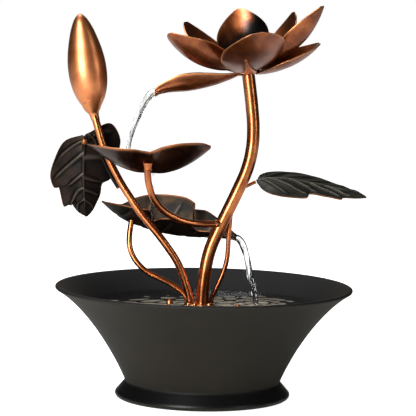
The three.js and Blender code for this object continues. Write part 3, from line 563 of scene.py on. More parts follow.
# ---------------------------------------------------------------- materials
# A noise's scale is 1000 over the size of its pattern in millimetres.


def grained(name, noise_inputs, stops, inputs, bump=None, rough=None, stretch=None):
    """A material with one noise under its colour. The noise also makes its relief, if `bump`
    gives a strength and a depth in millimetres, and its roughness, if `rough` gives a range.
    `stretch` is the noise's scale along each axis."""
    material, tree, shader, coordinates = new_material(name)
    position = coordinates["Object"]
    if stretch:
        position = add_node(tree, "ShaderNodeMapping", {"Vector": position, "Scale": stretch})
    grain = add_node(tree, "ShaderNodeTexNoise", {"Vector": position, **noise_inputs})
    colour = add_node(tree, "ShaderNodeValToRGB", {"Fac": grain}, stops=stops)
    set_inputs(tree, shader, {"Base Color": colour, **inputs})
    if bump:
        relief = add_node(tree, "ShaderNodeBump", {
            "Height": grain, "Strength": bump[0], "Distance": bump[1] * MM})
        set_inputs(tree, shader, {"Normal": relief})
    if rough:
        gloss = add_node(tree, "ShaderNodeMapRange", {
            "Value": grain, "To Min": rough[0], "To Max": rough[1]})
        set_inputs(tree, shader, {"Roughness": gloss})
    return material


def trimmed_rim(tree, across, start, strength, interpolation):
    """How far a place on a sheet is into the rim at its sides, from 0 to `strength`. The rim
    starts `start` off the middle, and `across` is 0 at one side and 1 at the other."""
    off = add_node(tree, "ShaderNodeMath", {0: across, 1: 0.5}, operation="SUBTRACT")
    spread = add_node(tree, "ShaderNodeMath", {0: off}, operation="ABSOLUTE")
    return add_node(tree, "ShaderNodeMapRange", {
        "Value": spread, "From Min": start, "From Max": 0.5, "To Max": strength},
        interpolation_type=interpolation)


def lacquered_copper(name, colour, dark, roughness, coat=0.35, coat_roughness=0.08):
    """Drawn copper tube, polished and lacquered. It gives clean, bright streaks of light with
    brown edges, warm clouds about 11 mm across, and draw lines about 1 mm apart, which is
    coarser than real ones, so that they show."""
    material, tree, shader, coordinates = new_material(name)
    position = coordinates["Object"]
    clouds = add_node(tree, "ShaderNodeTexNoise", {
        "Vector": position, "Scale": 90.0, "Detail": 3.0})
    drawn = add_node(tree, "ShaderNodeMapping", {
        "Vector": position, "Scale": (900.0, 900.0, 60.0)})
    lines = add_node(tree, "ShaderNodeTexNoise", {"Vector": drawn, "Scale": 1.0, "Detail": 2.0})
    set_inputs(tree, shader, {
        "Base Color": add_node(tree, "ShaderNodeValToRGB", {"Fac": clouds}, stops=[
            (0.32, dark), (0.62, colour)]),
        "Roughness": add_node(tree, "ShaderNodeMapRange", {
            "Value": clouds, "To Min": roughness * 1.25, "To Max": roughness * 0.8}),
        "Normal": add_node(tree, "ShaderNodeBump", {
            "Height": lines, "Strength": 0.06, "Distance": 0.05 * MM}),
        "Metallic": 1.0, "Coat Weight": coat, "Coat Roughness": coat_roughness})
    return material


def heat_coloured_copper(name, light, middle, dark, rim, painted_shade_reach=0.45, painted_shade_slant=0.0):
    """Copper sheet browned with a torch and lacquered. It gives warm brown clouds about 13 mm
    across, hammer ripples about 4 mm across, a lighter orange rim where the sheet was trimmed,
    and painted shade: the root of the hollow side is painted near black. The painted shade
    reaches a given share of the way along the sheet, less towards its far side by a given slant."""
    material, tree, shader, coordinates = new_material(name)
    position = coordinates["Object"]
    uv = add_node(tree, "ShaderNodeSeparateXYZ", {"Vector": coordinates["UV"]}).outputs
    clouds = add_node(tree, "ShaderNodeTexNoise", {
        "Vector": position, "Scale": 75.0, "Detail": 5.0, "Roughness": 0.6, "Distortion": 0.4})
    body = add_node(tree, "ShaderNodeValToRGB", {"Fac": clouds}, stops=[
        (0.3, dark), (0.5, middle), (0.72, light)])
    bright = add_node(tree, "ShaderNodeMix", {
        "Factor": trimmed_rim(tree, uv["X"], 0.455, 1.0, "SMOOTHSTEP"), "A": body, "B": rim},
        data_type="RGBA")
    ripples = add_node(tree, "ShaderNodeTexNoise", {
        "Vector": position, "Scale": 260.0, "Detail": 2.0})
    inside = add_node(tree, "ShaderNodeAttribute", attribute_name="inside").outputs["Fac"]
    slant = add_node(tree, "ShaderNodeMath", {0: uv["X"], 1: painted_shade_slant, 2: uv["Y"]},
                     operation="MULTIPLY_ADD")
    patchy = add_node(tree, "ShaderNodeMath", {0: clouds, 1: 0.3, 2: slant},
                      operation="MULTIPLY_ADD")
    # Painted shade: the hollow side's root is mixed to near black, #0E0907, in patches.
    root = add_node(tree, "ShaderNodeMapRange", {
        "Value": patchy, "From Min": painted_shade_reach - 0.12, "From Max": painted_shade_reach + 0.14,
        "To Min": 1.0, "To Max": 0.0}, interpolation_type="SMOOTHSTEP")
    painted_shade = add_node(tree, "ShaderNodeMath", {0: inside, 1: root}, operation="MULTIPLY")
    set_inputs(tree, shader, {
        "Base Color": add_node(tree, "ShaderNodeMix", {
            "Factor": painted_shade, "A": bright, "B": "#0E0907"}, data_type="RGBA"),
        "Roughness": add_node(tree, "ShaderNodeMapRange", {
            "Value": clouds, "To Min": 0.46, "To Max": 0.3}),
        "Normal": add_node(tree, "ShaderNodeBump", {
            "Height": ripples, "Strength": 0.35, "Distance": 0.2 * MM}),
        "Metallic": 1.0, "Coat Weight": 0.5, "Coat Roughness": 0.22})
    return material


def antiqued_copper(name, patina, worn, crest_colour, amount):
    """Copper sheet blackened with liver of sulphur and rubbed back. It gives a dark olive brown
    skin, with metal showing on the raised veins, on the rim and in rubbed clouds about 17 mm
    across, and a grain of about 2.4 mm."""
    material, tree, shader, coordinates = new_material(name)
    position = coordinates["Object"]
    uv = add_node(tree, "ShaderNodeSeparateXYZ", {"Vector": coordinates["UV"]}).outputs
    clouds = add_node(tree, "ShaderNodeTexNoise", {
        "Vector": position, "Scale": 60.0, "Detail": 6.0, "Roughness": 0.62, "Distortion": 0.5})
    body = add_node(tree, "ShaderNodeValToRGB", {"Fac": clouds}, stops=[
        (0.42, patina), (0.78 - amount, worn)])
    crest = add_node(tree, "ShaderNodeAttribute", attribute_name="crest").outputs["Fac"]
    lift = add_node(tree, "ShaderNodeMapRange", {
        "Value": crest, "From Min": 0.35, "From Max": 1.0, "To Max": 0.75})
    veined = add_node(tree, "ShaderNodeMix", {"Factor": lift, "A": body, "B": crest_colour},
                      data_type="RGBA")
    grain = add_node(tree, "ShaderNodeTexNoise", {
        "Vector": position, "Scale": 420.0, "Detail": 3.0})
    set_inputs(tree, shader, {
        "Base Color": add_node(tree, "ShaderNodeMix", {
            "Factor": trimmed_rim(tree, uv["X"], 0.486, 0.8, "LINEAR"), "A": veined,
            "B": "#A0623C"}, data_type="RGBA"),
        "Roughness": add_node(tree, "ShaderNodeMapRange", {
            "Value": clouds, "To Min": 0.5, "To Max": 0.36}),
        "Normal": add_node(tree, "ShaderNodeBump", {
            "Height": grain, "Strength": 0.3, "Distance": 0.12 * MM}),
        "Metallic": 0.9})
    return material


def cast_stoneware(name, colour, dark):
    """Slip-cast stoneware with a matt charcoal glaze. It spreads light widely, with a very fine
    tooth of about 0.55 mm and faint clouds about 45 mm across. Where it faces up it is painted
    near black as shade above the foot and a lighter grey on the foot, and under the water it is
    painted black as shade. Up to about 11 mm high it is a little satin."""
    material, tree, shader, coordinates = new_material(name)
    position = coordinates["Object"]
    height = add_node(tree, "ShaderNodeSeparateXYZ", {"Vector": position}).outputs["Z"]
    normal = add_node(tree, "ShaderNodeNewGeometry").outputs["True Normal"]
    facing = add_node(tree, "ShaderNodeSeparateXYZ", {"Vector": normal}).outputs["Z"]
    clouds = add_node(tree, "ShaderNodeTexNoise", {
        "Vector": position, "Scale": 22.0, "Detail": 4.0})
    tooth = add_node(tree, "ShaderNodeTexNoise", {
        "Vector": position, "Scale": 1800.0, "Detail": 2.0})
    # Painted shade: faces that point up take the colours below, near black above the foot.
    painted_shade_facing_up = add_node(tree, "ShaderNodeMapRange", {
        "Value": facing, "From Min": -0.1, "From Max": 0.3}, interpolation_type="SMOOTHSTEP")
    # Painted shade: under the water, faces that point up are painted black.
    under_water = add_node(tree, "ShaderNodeMapRange", {
        "Value": height, "From Min": (WATER_LEVEL - 0.4) * MM,
        "From Max": (WATER_LEVEL + 1.6) * MM, "To Min": 1.0, "To Max": 0.0})
    painted_shade_under_water = add_node(tree, "ShaderNodeMath", {0: painted_shade_facing_up, 1: under_water}, operation="MULTIPLY")
    dry = add_node(tree, "ShaderNodeValToRGB", {"Fac": clouds}, stops=[
        (0.3, dark), (0.7, colour)])
    over_foot = add_node(tree, "ShaderNodeMapRange", {
        "Value": height, "From Min": 10 * MM, "From Max": 12 * MM})
    # Near black above the foot is painted shade; the foot's faces that point up are lighter grey.
    glaze = add_node(tree, "ShaderNodeValToRGB", {"Fac": over_foot}, stops=[
        (0.0, "#303033"), (1.0, "#0D0D0E")])
    dry_with_painted_shade = add_node(tree, "ShaderNodeMix", {"Factor": painted_shade_facing_up, "A": dry, "B": glaze},
                     data_type="RGBA")
    set_inputs(tree, shader, {
        "Base Color": add_node(tree, "ShaderNodeMix", {
            "Factor": painted_shade_under_water, "A": dry_with_painted_shade, "B": "#080808"}, data_type="RGBA"),
        "Roughness": add_node(tree, "ShaderNodeMapRange", {
            "Value": over_foot, "To Min": 0.36, "To Max": 0.66}),
        "Normal": add_node(tree, "ShaderNodeBump", {
            "Height": tooth, "Strength": 0.25, "Distance": 0.1 * MM}),
        "IOR": 1.42, "Specular IOR Level": 0.3})
    return material


def brazing_alloy(name):
    """Phosphor copper brazing rod, flowed and left bright. It is paler than the tube, with small
    blobs and pits about 1.4 mm across."""
    return grained(name, {"Scale": 700.0, "Detail": 2.0}, [(0.35, "#7A4526"), (0.6, "#D0905E")],
                   {"Metallic": 1.0, "Roughness": 0.24}, bump=(0.5, 0.3))


def moulded_abs(name, colour, roughness):
    """Injection-moulded ABS with a fine spark-eroded texture, about 0.4 mm, and a dull sheen."""
    return grained(name, {"Scale": 2400.0, "Detail": 2.0}, [(0.3, colour), (0.8, "#2E3033")],
                   {"IOR": 1.53}, bump=(0.2, 0.06), rough=(roughness - 0.06, roughness + 0.06))


def nitrile_rubber(name):
    """Moulded nitrile rubber, matt black with a bloom of dust in patches of 2 mm."""
    return grained(name, {"Scale": 500.0, "Detail": 4.0}, [(0.4, "#151515"), (0.8, "#2C2B2A")],
                   {"Roughness": 0.8, "IOR": 1.52})


def silicone_hose(name):
    """Extruded silicone hose, milky and half clear."""
    return grained(name, {"Scale": 300.0, "Detail": 2.0}, [(0.3, "#C9CCC8"), (0.7, "#E2E4E0")],
                   {"Roughness": 0.35, "IOR": 1.41, "Transmission Weight": 0.4})


def wool_felt(name):
    """Pressed felt pad, black, with matted fibres about 0.5 mm apart."""
    return grained(name, {"Scale": 1900.0, "Detail": 5.0, "Distortion": 2.0},
                   [(0.35, "#0E0E0D"), (0.75, "#2A2927")],
                   {"Roughness": 0.95, "Sheen Weight": 0.3}, bump=(0.9, 0.4))


def ground_steel(name, light, dark, roughness):
    """Ground stainless steel or ferrite, with fine marks from the wheel, about 0.7 mm apart."""
    return grained(name, {"Scale": 1500.0, "Detail": 3.0}, [(0.3, dark), (0.7, light)],
                   {"Metallic": 1.0, "Roughness": roughness})


def clear_water(name, milk, roughness, stops):
    """Clear water, with streaks of air, 2 mm across and 20 mm long, where it falls."""
    return grained(name, {"Scale": 1.0, "Detail": 3.0}, stops,
                   {"Roughness": roughness, "IOR": 1.333, "Transmission Weight": 1.0},
                   bump=(0.16 * milk, 0.4), stretch=(500.0, 500.0, 50.0))


FINISHES = {}


def finish(name):
    """The named finish. All of them are made when the first is asked for."""
    if not FINISHES:
        colours = bpy.context.scene.fountain_finishes
        light, dark, rim = "#AC6236", "#643318", "#D89058"
        FINISHES.update({
            "stem copper": lacquered_copper(
                "lacquered_polished_copper", colours.polished, "#9A522C", 0.25),
            "bud copper": lacquered_copper(
                "lacquered_spun_copper", "#D8864E", "#B0602F", 0.36, 0.8, 0.3),
            # These coppers paint shade near black on the hollow side's root: 0.45 of the way along
            # the petals, the whole back petal less towards one side, and 0.1 along the dish.
            "petal copper": heat_coloured_copper(
                "torch_browned_copper", light, colours.browned, dark, rim),
            "back petal copper": heat_coloured_copper(
                "browned_copper_painted_shade", "#BE7040", colours.browned, dark, rim, 1.08, 0.38),
            "dish copper": heat_coloured_copper(
                "dark_browned_copper", "#5C3420", "#381F14", "#160D08", "#B06E44", 0.1),
            "leaf copper": antiqued_copper(
                "blackened_copper", colours.blackened, "#251A13", "#433C35", 0.08),
            "olive leaf copper": antiqued_copper(
                "olive_patinated_copper", "#262723", "#3C3D36", "#6E6E64", 0.1),
            "basin copper": antiqued_copper(
                "rubbed_back_copper", "#1E1C19", "#42301F", "#585044", 0.08),
            "braze": brazing_alloy("phosphor_copper_braze"),
            "stoneware": cast_stoneware("charcoal_stoneware", colours.bowl, "#1A1712"),
            "felt": wool_felt("pressed_wool_felt"),
            "cover plastic": moulded_abs("matt_black_abs", "#141516", 0.55),
            "pump plastic": moulded_abs("satin_black_abs", "#1A1B1D", 0.42),
            "rubber": nitrile_rubber("nitrile_rubber"),
            "silicone": silicone_hose("milky_silicone"),
            "steel": ground_steel("ground_stainless_steel", "#C4C6C8", "#9A9C9E", 0.25),
            "ferrite": ground_steel("sintered_ferrite", "#4C4D50", "#2E2F31", 0.5),
            "pool": clear_water("still_water", 0.0, 0.0, [(0.2, "#C8CCCC"), (0.8, "#E4E6E6")]),
            "fall": clear_water("falling_water", 1.0, 0.03, [
                (0.36, "#8E9494"), (0.5, "#E2E5E5"), (0.66, "#FFFFFF")]),
        })
    return FINISHES[name]


# ---------------------------------------------------------------- properties


def colour_property(name, description, default):
    return FloatVectorProperty(
        name=name, description=description, subtype="COLOR", size=3, min=0, max=1,
        default=linear(default))


def length_property(name, description, low, high, default):
    """A length with its limits and default in millimetres."""
    return FloatProperty(
        name=name, description=description, subtype="DISTANCE", unit="LENGTH",
        min=low * MM, max=high * MM, default=default * MM)


class FountainFinishes(bpy.types.PropertyGroup):
    """Colours that a user would change."""

    polished: colour_property("Polished copper", "Colour of the lacquered stems", "#C87642")
    browned: colour_property("Browned copper", "Middle colour of the petals", "#8C4A26")
    blackened: colour_property("Blackened copper", "Colour of the antiqued leaves", "#110F0E")
    bowl: colour_property("Bowl", "Colour of the stoneware's matt glaze", "#201D15")


class FountainSizes(bpy.types.PropertyGroup):
    """Sizes that a user would change."""

    main_stem_radius: length_property(
        "Main stem radius", "Outer radius of the tube that carries the water", 2, 8, 4.4)
    bud_stem_radius: length_property(
        "Bud stem radius", "Radius of the stem that holds the bud", 1, 6, 2.65)
    sheet_thickness: length_property(
        "Sheet thickness", "Thickness of the petals', dish's and leaves' sheet", 0.3, 2, SHEET)
    vein_height: length_property(
        "Vein height", "How far the side leaves' pressed veins stand up", 0, 2, 1.1)


# ---------------------------------------------------------------- operators


class FOUNTAIN_OT_stage(bpy.types.Operator):
    """Sets up the pale floor, the soft studio lights and the camera"""

    bl_idname = "fountain.stage"
    bl_label = "Stage"

    def execute(self, context):
        scene = context.scene
        scene.view_settings.view_transform = "Standard"
        self.add_floor()
        self.add_world(scene)
        self.add_softbox("key_softbox", (-0.62, -1.15, 0.58), (0.5, 1.15), 30)
        self.add_softbox("right_softbox", (1.0, -0.75, 0.46), (0.1, 0.9), 2.5)
        self.add_softbox("top_softbox", (-0.3, 0.2, 1.4), (1.0, 0.9), 13)
        self.add_softbox("rear_softbox", (0.0, 1.5, 0.6), (1.1, 0.62), 1.3, "#F6E8D2")
        self.add_camera(scene)
        return {"FINISHED"}

    @staticmethod
    def add_floor():
        """A white paper sweep. It glows only where it is seen straight on or through clear
        water, so it casts no light of its own on the fountain."""
        deselect()
        bpy.ops.mesh.primitive_plane_add(size=FLOOR_SIZE, location=(0, 0, 0))
        floor = bpy.context.active_object
        floor.name = "floor"
        material, tree, shader, coordinates = new_material("white_paper_sweep")
        path = add_node(tree, "ShaderNodeLightPath").outputs
        unlit = add_node(tree, "ShaderNodeMath", {0: path["Diffuse Depth"], 1: 0.5},
                         operation="LESS_THAN")
        through = add_node(tree, "ShaderNodeMath", {0: path["Is Transmission Ray"], 1: unlit},
                           operation="MULTIPLY")
        seen = add_node(tree, "ShaderNodeMath", {0: path["Is Camera Ray"], 1: through},
                        operation="MAXIMUM")
        fibre = add_node(tree, "ShaderNodeTexNoise", {
            "Vector": coordinates["Object"], "Scale": 60.0, "Detail": 2.0})
        set_inputs(tree, shader, {
            "Base Color": add_node(tree, "ShaderNodeValToRGB", {"Fac": fibre}, stops=[
                (0.2, "#F6F6F5"), (0.8, "#FAFAF9")]),
            "Emission Strength": add_node(tree, "ShaderNodeMapRange", {
                "Value": seen, "To Min": 0.0, "To Max": 0.98}),
            "Roughness": 0.9})
        floor.data.materials.append(material)

    @staticmethod
    def add_world(scene):
        """White where it is seen, and a dim studio where it is reflected."""
        world = bpy.data.worlds.new("studio")
        scene.world = world
        world.use_nodes = True
        tree = world.node_tree
        tree.nodes.clear()
        path = add_node(tree, "ShaderNodeLightPath").outputs
        seen = add_node(tree, "ShaderNodeBackground", {"Color": (1, 1, 1, 1), "Strength": 1.0})
        studio = add_node(tree, "ShaderNodeBackground", {
            "Color": (1, 0.97, 0.93, 1), "Strength": 0.03})
        both = add_node(tree, "ShaderNodeMixShader", {
            0: path["Is Camera Ray"], 1: studio, 2: seen})
        add_node(tree, "ShaderNodeOutputWorld", {"Surface": both})

    @staticmethod
    def add_softbox(name, place, size, power, colour="#FFFFFF"):
        """An area light that faces the fountain's middle and isn't itself seen."""
        light = bpy.data.lights.new(name, "AREA")
        light.shape = "RECTANGLE"
        light.size, light.size_y = size
        light.energy = power
        light.color = linear(colour)
        lamp = bpy.data.objects.new(name, light)
        bpy.context.scene.collection.objects.link(lamp)
        lamp.location = place
        lamp.visible_camera = False
        aim = Vector(LIGHT_TARGET) - Vector(place)
        lamp.rotation_euler = aim.to_track_quat("-Z", "Y").to_euler()

    @staticmethod
    def add_camera(scene):
        """A long lens in front, a little above the flower, looking slightly down."""
        pitch, roll = math.radians(5.59), math.radians(1.0)
        forward = Vector((0, math.cos(pitch), -math.sin(pitch)))
        level_up = Vector((0, math.sin(pitch), math.cos(pitch)))
        right = math.cos(roll) * Vector((1, 0, 0)) + math.sin(roll) * level_up
        up = math.cos(roll) * level_up - math.sin(roll) * Vector((1, 0, 0))
        data = bpy.data.cameras.new("camera")
        data.sensor_width = 36
        data.lens = 189.6
        data.shift_x, data.shift_y = 0.0067, 0.0044
        data.clip_start, data.clip_end = 0.05, 50
        camera = bpy.data.objects.new("camera", data)
        scene.collection.objects.link(camera)
        turn = Matrix((right, up, -forward)).transposed().to_4x4()
        camera.matrix_world = Matrix.Translation(CAMERA_PLACE) @ turn
        scene.camera = camera


class FOUNTAIN_OT_bowl(bpy.types.Operator):
    """Turns the stoneware bowl and its felt pad"""

    bl_idname = "fountain.bowl"
    bl_label = "Bowl and pad"

    def execute(self, context):
        outer = self.curve([(53.6, 12), (64.5, 37), (84, 65), (102.2, 75.6)], 26)
        inner = self.curve([(98.4, 76.9), (80.8, 67), (60.8, 39), (49, 14)], 22)
        foot = [
            (0.5, 2.3), (50.8, 2.3), (51.4, 2), (52, 0.9), (52.6, 0.5), (57.8, 0.5), (58.8, 0.7),
            (59.7, 1.3), (60.3, 2.1), (60.5, 3), (60.2, 4), (59.4, 5), (58, 6.6), (56.4, 8.6),
            (54.6, 10.6), (53.8, 11.4)]
        rim = [(102.5, 76), (102.6, 76.5), (102.4, 77), (101.9, 77.35), (101.2, 77.5),
               (100.2, 77.55), (99.2, 77.3)]
        floor = [(47.2, 11), (44.5, 9.2), (40, 8), (20, 8), (0.5, 8)]
        piece = turned([*foot, *outer, *rim, *inner, *floor], 128)
        points = points_of(piece)
        radial = points * (1, 1, 0)
        radial /= np.maximum(np.linalg.norm(radial, axis=1), 1e-6)[:, None]
        # The thrown wall runs out of true by up to 0.25 mm, but not the foot under 14 mm.
        free = np.clip((points[:, 2] - 14) / 20, 0, 1)
        drift = wobble(points, 70.0, 0.25, 3.0) * free
        set_points(piece, points + radial * drift[:, None])
        finish_piece(piece, "bowl_piece", "stoneware", ["bowl"], "bowl")
        pad = turned([
            (0.5, 0), (49.4, 0), (49.9, 0.3), (50, 1), (49.8, 1.8), (49.2, 2), (0.5, 2)], 96)
        finish_piece(pad, "felt_pad", "felt", ["base_pad"], "bowl")
        return {"FINISHED"}

    @staticmethod
    def curve(handles, pieces):
        """Points on a Bezier curve with four handles."""
        a, b, c, d = np.array(handles, float)
        t = np.linspace(0, 1, pieces + 1)[:, None]
        rows = (1 - t) ** 3 * a + 3 * (1 - t) ** 2 * t * b + 3 * (1 - t) * t ** 2 * c + t ** 3 * d
        return [tuple(row) for row in rows]


class FOUNTAIN_OT_cover(bpy.types.Operator):
    """Makes the pump cover, the stem plate and what clamps them together"""

    bl_idname = "fountain.cover"
    bl_label = "Cover, plate and nuts"

    def execute(self, context):
        cover = moulded_copy("pump_cover", 0.6)
        finish_piece(cover, "cover_moulding", "cover plastic", ["pump_cover"])
        plate = moulded_copy("stem_plate", 0.3)
        finish_piece(plate, "plate_pressing", "leaf copper", ["stem_plate"])
        pattern = self.acorn_nut()
        for index, (x, y) in enumerate([(-23.7, 11.3), (23.7, -11.3)], 1):
            nut = duplicate(pattern)
            nut.location = (x * MM, y * MM, 0)
            finish_piece(nut, f"domed_nut_{index}", "bud copper", [f"acorn_nut_{index}"],
                         smooth=35)
            screw = moulded_copy(f"plate_screw_{index}", 0.2)
            finish_piece(screw, f"pan_screw_{index}", "steel", [f"plate_screw_{index}"])
        bpy.data.objects.remove(pattern)
        return {"FINISHED"}

    @staticmethod
    def acorn_nut():
        """A nut turned on the Z axis. Its lower part, under the dome, is pushed out to a
        hexagon."""
        side, corner, shoulder = 2.75, 3.2, 63.3
        piece = turned([
            (0.2, 60.6), (2.7, 60.6), (side, 63.2), (2.6, 63.6), (2.5, 64.2), (2.3, 65),
            (1.9, 65.8), (1.3, 66.4), (0.7, 66.7), (0.2, 66.8)], 48)
        x, y, z = points_of(piece).T
        sixth = math.pi / 3
        angle = (np.arctan2(y, x) + sixth / 2) % sixth - sixth / 2
        flat = math.cos(sixth / 2) / np.cos(angle)
        share = (z < shoulder) & (np.hypot(x, y) > 2)
        scale = 1 + share * (flat * corner / side - 1)
        set_points(piece, np.column_stack([x * scale, y * scale, z]))
        return piece


class FOUNTAIN_OT_stems(bpy.types.Operator):
    """Bends the copper stems, rods and wires"""

    bl_idname = "fountain.stems"
    bl_label = "Stems and wires"

    def execute(self, context):
        sizes = context.scene.fountain_sizes
        stems = [
            ("main_tube", MAIN_ROUTE, sizes.main_stem_radius / MM, "main_stem"),
            ("bud_tube", BUD_ROUTE, sizes.bud_stem_radius / MM, "bud_stem"),
            ("dish_branch", DISH_ROUTE, 2.4, "dish_stem"),
            ("prop_rod", PROP_ROUTE, 2.0, "leaf_prop"),
            ("rear_brace", BRACE_ROUTE, 1.7, "brace_rod"),
            ("left_hook_wire", LEFT_WIRE_ROUTE, 1.2, "left_leaf_wire"),
            ("right_twig_wire", RIGHT_WIRE_ROUTE, 1.2, "right_leaf_wire"),
        ]
        for name, route, radius, node in stems:
            piece = bent_tube(route, radius)
            if name == "main_tube":
                self.open_ends(piece)
            kind = "leaf copper" if name == "left_hook_wire" else "stem copper"
            finish_piece(piece, name, kind, [node], smooth=60)
        return {"FINISHED"}

    @staticmethod
    def open_ends(piece):
        """Bores both ends of the tube: their caps are inset, then pushed in."""
        wall, bore_depth = 0.9, 9
        bpy.context.view_layer.objects.active = piece
        for end, inner in ((0, 1), (-1, -2)):
            mouth = Vector(MAIN_ROUTE[end]) * MM
            push = (Vector(MAIN_ROUTE[inner]) * MM - mouth).normalized() * bore_depth * MM
            bpy.ops.object.mode_set(mode="EDIT")
            bpy.ops.mesh.select_mode(type="FACE")
            bpy.ops.mesh.select_all(action="DESELECT")
            bpy.ops.object.mode_set(mode="OBJECT")
            for face in piece.data.polygons:
                face.select = len(face.vertices) > 6 and (face.center - mouth).length < 2 * MM
            bpy.ops.object.mode_set(mode="EDIT")
            bpy.ops.mesh.inset(thickness=wall * MM, depth=0)
            bpy.ops.mesh.extrude_region_move(TRANSFORM_OT_translate={"value": push})
            bpy.ops.mesh.select_mode(type="VERT")
            bpy.ops.object.mode_set(mode="OBJECT")


class FOUNTAIN_OT_petals(bpy.types.Operator):
    """Shapes the flower's petals and the spout petal"""

    bl_idname = "fountain.petals"
    bl_label = "Petals"

    def execute(self, context):
        for index, (name, shape) in enumerate(PETALS.items()):
            piece = bent_sheet(
                petal(*shape), 28, 44, wave=0.16, seed=2.0 + index, relief=self.fold)
            kind = "back petal copper" if name == "petal_back" else "petal copper"
            finish_piece(piece, f"{name}_sheet", kind, [name])
        trough = railed(SPOUT_STATIONS, depth=(0, 0, 1), bow=2.2)
        spout = bent_sheet(
            trough, 32, 56, wave=0.2, seed=9.0, relief=self.crinkle, hollow=-1)
        finish_piece(spout, "spout_petal_sheet", "petal copper", ["spout_petal"])
        return {"FINISHED"}

    @staticmethod
    def fold(s, t):
        """A soft valley down the midrib."""
        return -0.1 * np.exp(-(s / 0.2) ** 2) * np.sin(math.pi * np.clip(t, 0, 1))

    @staticmethod
    def crinkle(s, t):
        """Ribs that fan towards the pouring lip."""
        return 0.22 * np.cos(s * 7 * math.pi + 2 * t) * np.clip((t - 0.3) * 2, 0, 1)


class FOUNTAIN_OT_dish(bpy.types.Operator):
    """Shapes the upper dish and the lower leaf that catch the water"""

    bl_idname = "fountain.dish"
    bl_label = "Dish and lower leaf"

    def execute(self, context):
        lobes = railed(DISH_STATIONS, depth=(0, 0, 1), bow=1.9)
        dish = bent_sheet(lobes, 36, 90, wave=0.16, seed=21.0, relief=self.crease)
        finish_piece(dish, "upper_dish_sheet", "dish copper", ["upper_dish"])
        basin = railed(BASIN_STATIONS, depth=(0, 0, 1), bow=1.7)
        leaf = bent_sheet(basin, 40, 110, wave=0.2, seed=31.0, relief=self.veins)
        finish_piece(leaf, "lower_leaf_sheet", "basin copper", ["lower_leaf"])
        return {"FINISHED"}

    @staticmethod
    def crease(s, t):
        """The fold between the dish's two lobes."""
        return -0.5 * np.exp(-((t - 0.5) / 0.012) ** 2) * np.abs(s)

    @staticmethod
    def veins(s, t):
        """The lower leaf's midrib and five pairs of low veins."""
        layout = [(0, 0, 0, 1, 0.7)]
        for side in (-1, 1):
            layout += [(side, root, 0.13, 0.8, 1.0) for root in (0.08, 0.24, 0.4, 0.56, 0.72)]
        return 0.55 * ridges(s, t, layout, 0.014)


class FOUNTAIN_OT_side_leaves(bpy.types.Operator):
    """Shapes the two veined side leaves"""

    bl_idname = "fountain.side_leaves"
    bl_label = "Side leaves"

    def execute(self, context):
        height = context.scene.fountain_sizes.vein_height / MM
        midrib = (0, 0, 0, 1, 1.0)
        left_veins = [
            midrib, *[(-1, root, 0.2, 1.1, 1.0) for root in (0.04, 0.18, 0.36, 0.55, 0.72)],
            *[(1, root, 0.12, 1.0, 0.9) for root in (0.05, 0.22, 0.4, 0.58, 0.74)]]
        right_veins = [
            midrib, *[(-1, root, 0.3, 0.9, 1.0) for root in (0.02, 0.14, 0.28, 0.44, 0.6)],
            *[(1, root, 0.26, 0.9, 1.0) for root in (0.02, 0.16, 0.32, 0.48, 0.64)]]
        left = bent_sheet(
            railed(LEFT_LEAF_STATIONS, depth=(0, 1, 0), bow=1.4), 90, 170, wave=0.3, seed=41.0,
            relief=lambda s, t: height * ridges(s, t, left_veins, 0.028))
        finish_piece(left, "left_leaf_sheet", "leaf copper", ["left_leaf"])
        right = bent_sheet(
            railed(RIGHT_LEAF_STATIONS, depth=(0, 0, 1), bow=1.3), 90, 180, wave=0.25,
            seed=51.0, relief=lambda s, t: height * ridges(s, t, right_veins, 0.024))
        finish_piece(
            right, "right_leaf_sheet", "olive leaf copper", ["right_leaf"])
        return {"FINISHED"}


class FOUNTAIN_OT_bud(bpy.types.Operator):
    """Turns the bud, flattens it and presses its seam"""

    bl_idname = "fountain.bud"
    bl_label = "Bud"

    def execute(self, context):
        profile = spline([(r, z, 0) for r, z in BUD_PROFILE], np.linspace(0, 1, 60))
        rows = [(float(r), float(z)) for r, z, _ in profile]
        piece = turned([(0.3, 0.3), *rows, (0.15, 68)], 72)
        # The halves meet at the sides in a narrow flange that stands 2.5% proud.
        x, y, z = points_of(piece).T
        from_seam = np.abs(np.abs(np.arctan2(y, x)) - math.pi / 2) - math.pi / 2
        seam = np.exp(-from_seam ** 2 / 0.0012)
        pinch = 1 + 0.025 * seam * np.clip(z / 8, 0, 1)
        set_points(piece, self.leaned(x * pinch, y * BUD_DEPTH, z))
        finish_piece(
            piece, "bud_shell", "bud copper", ["bud_front", "bud_back"])
        socket = bent_sheet(self.fan, 48, 32, wave=0.1, seed=61.0, thickness=0.5)
        finish_piece(socket, "bud_socket", "bud copper", ["bud_crimp"])
        return {"FINISHED"}

    @staticmethod
    def leaned(x, y, z):
        """Places in the bud's own frame, leaned and moved to its seat."""
        c, s = math.cos(BUD_LEAN), math.sin(BUD_LEAN)
        return BUD_SEAT + np.column_stack([x * c - z * s, y, x * s + z * c])

    @classmethod
    def fan(cls, s, t):
        """The stem's end, opened and hammered into a fan on the bud's front."""
        foot, length = -6.2, 14
        height = foot + length * t
        radius = np.interp(height, *zip(
            (foot, 2.75), (-3, 2.95), (-1, 3.4), (0.4, 4.45), (2.2, 5.65), (5.6, 7.65),
            (9.4, 9.65)))
        half_angle = np.interp(height, *zip((foot, 179), (-2, 170), (2, 78), (8, 46)))
        angle = -math.pi / 2 + s * np.radians(half_angle)
        top = height + (1.4 * s + 0.8 * np.cos(s * 2.4)) * t ** 2
        x = radius * np.cos(angle) + 0.135 * np.maximum(-height, 0)
        return cls.leaned(x, radius * np.sin(angle) * BUD_DEPTH, top)


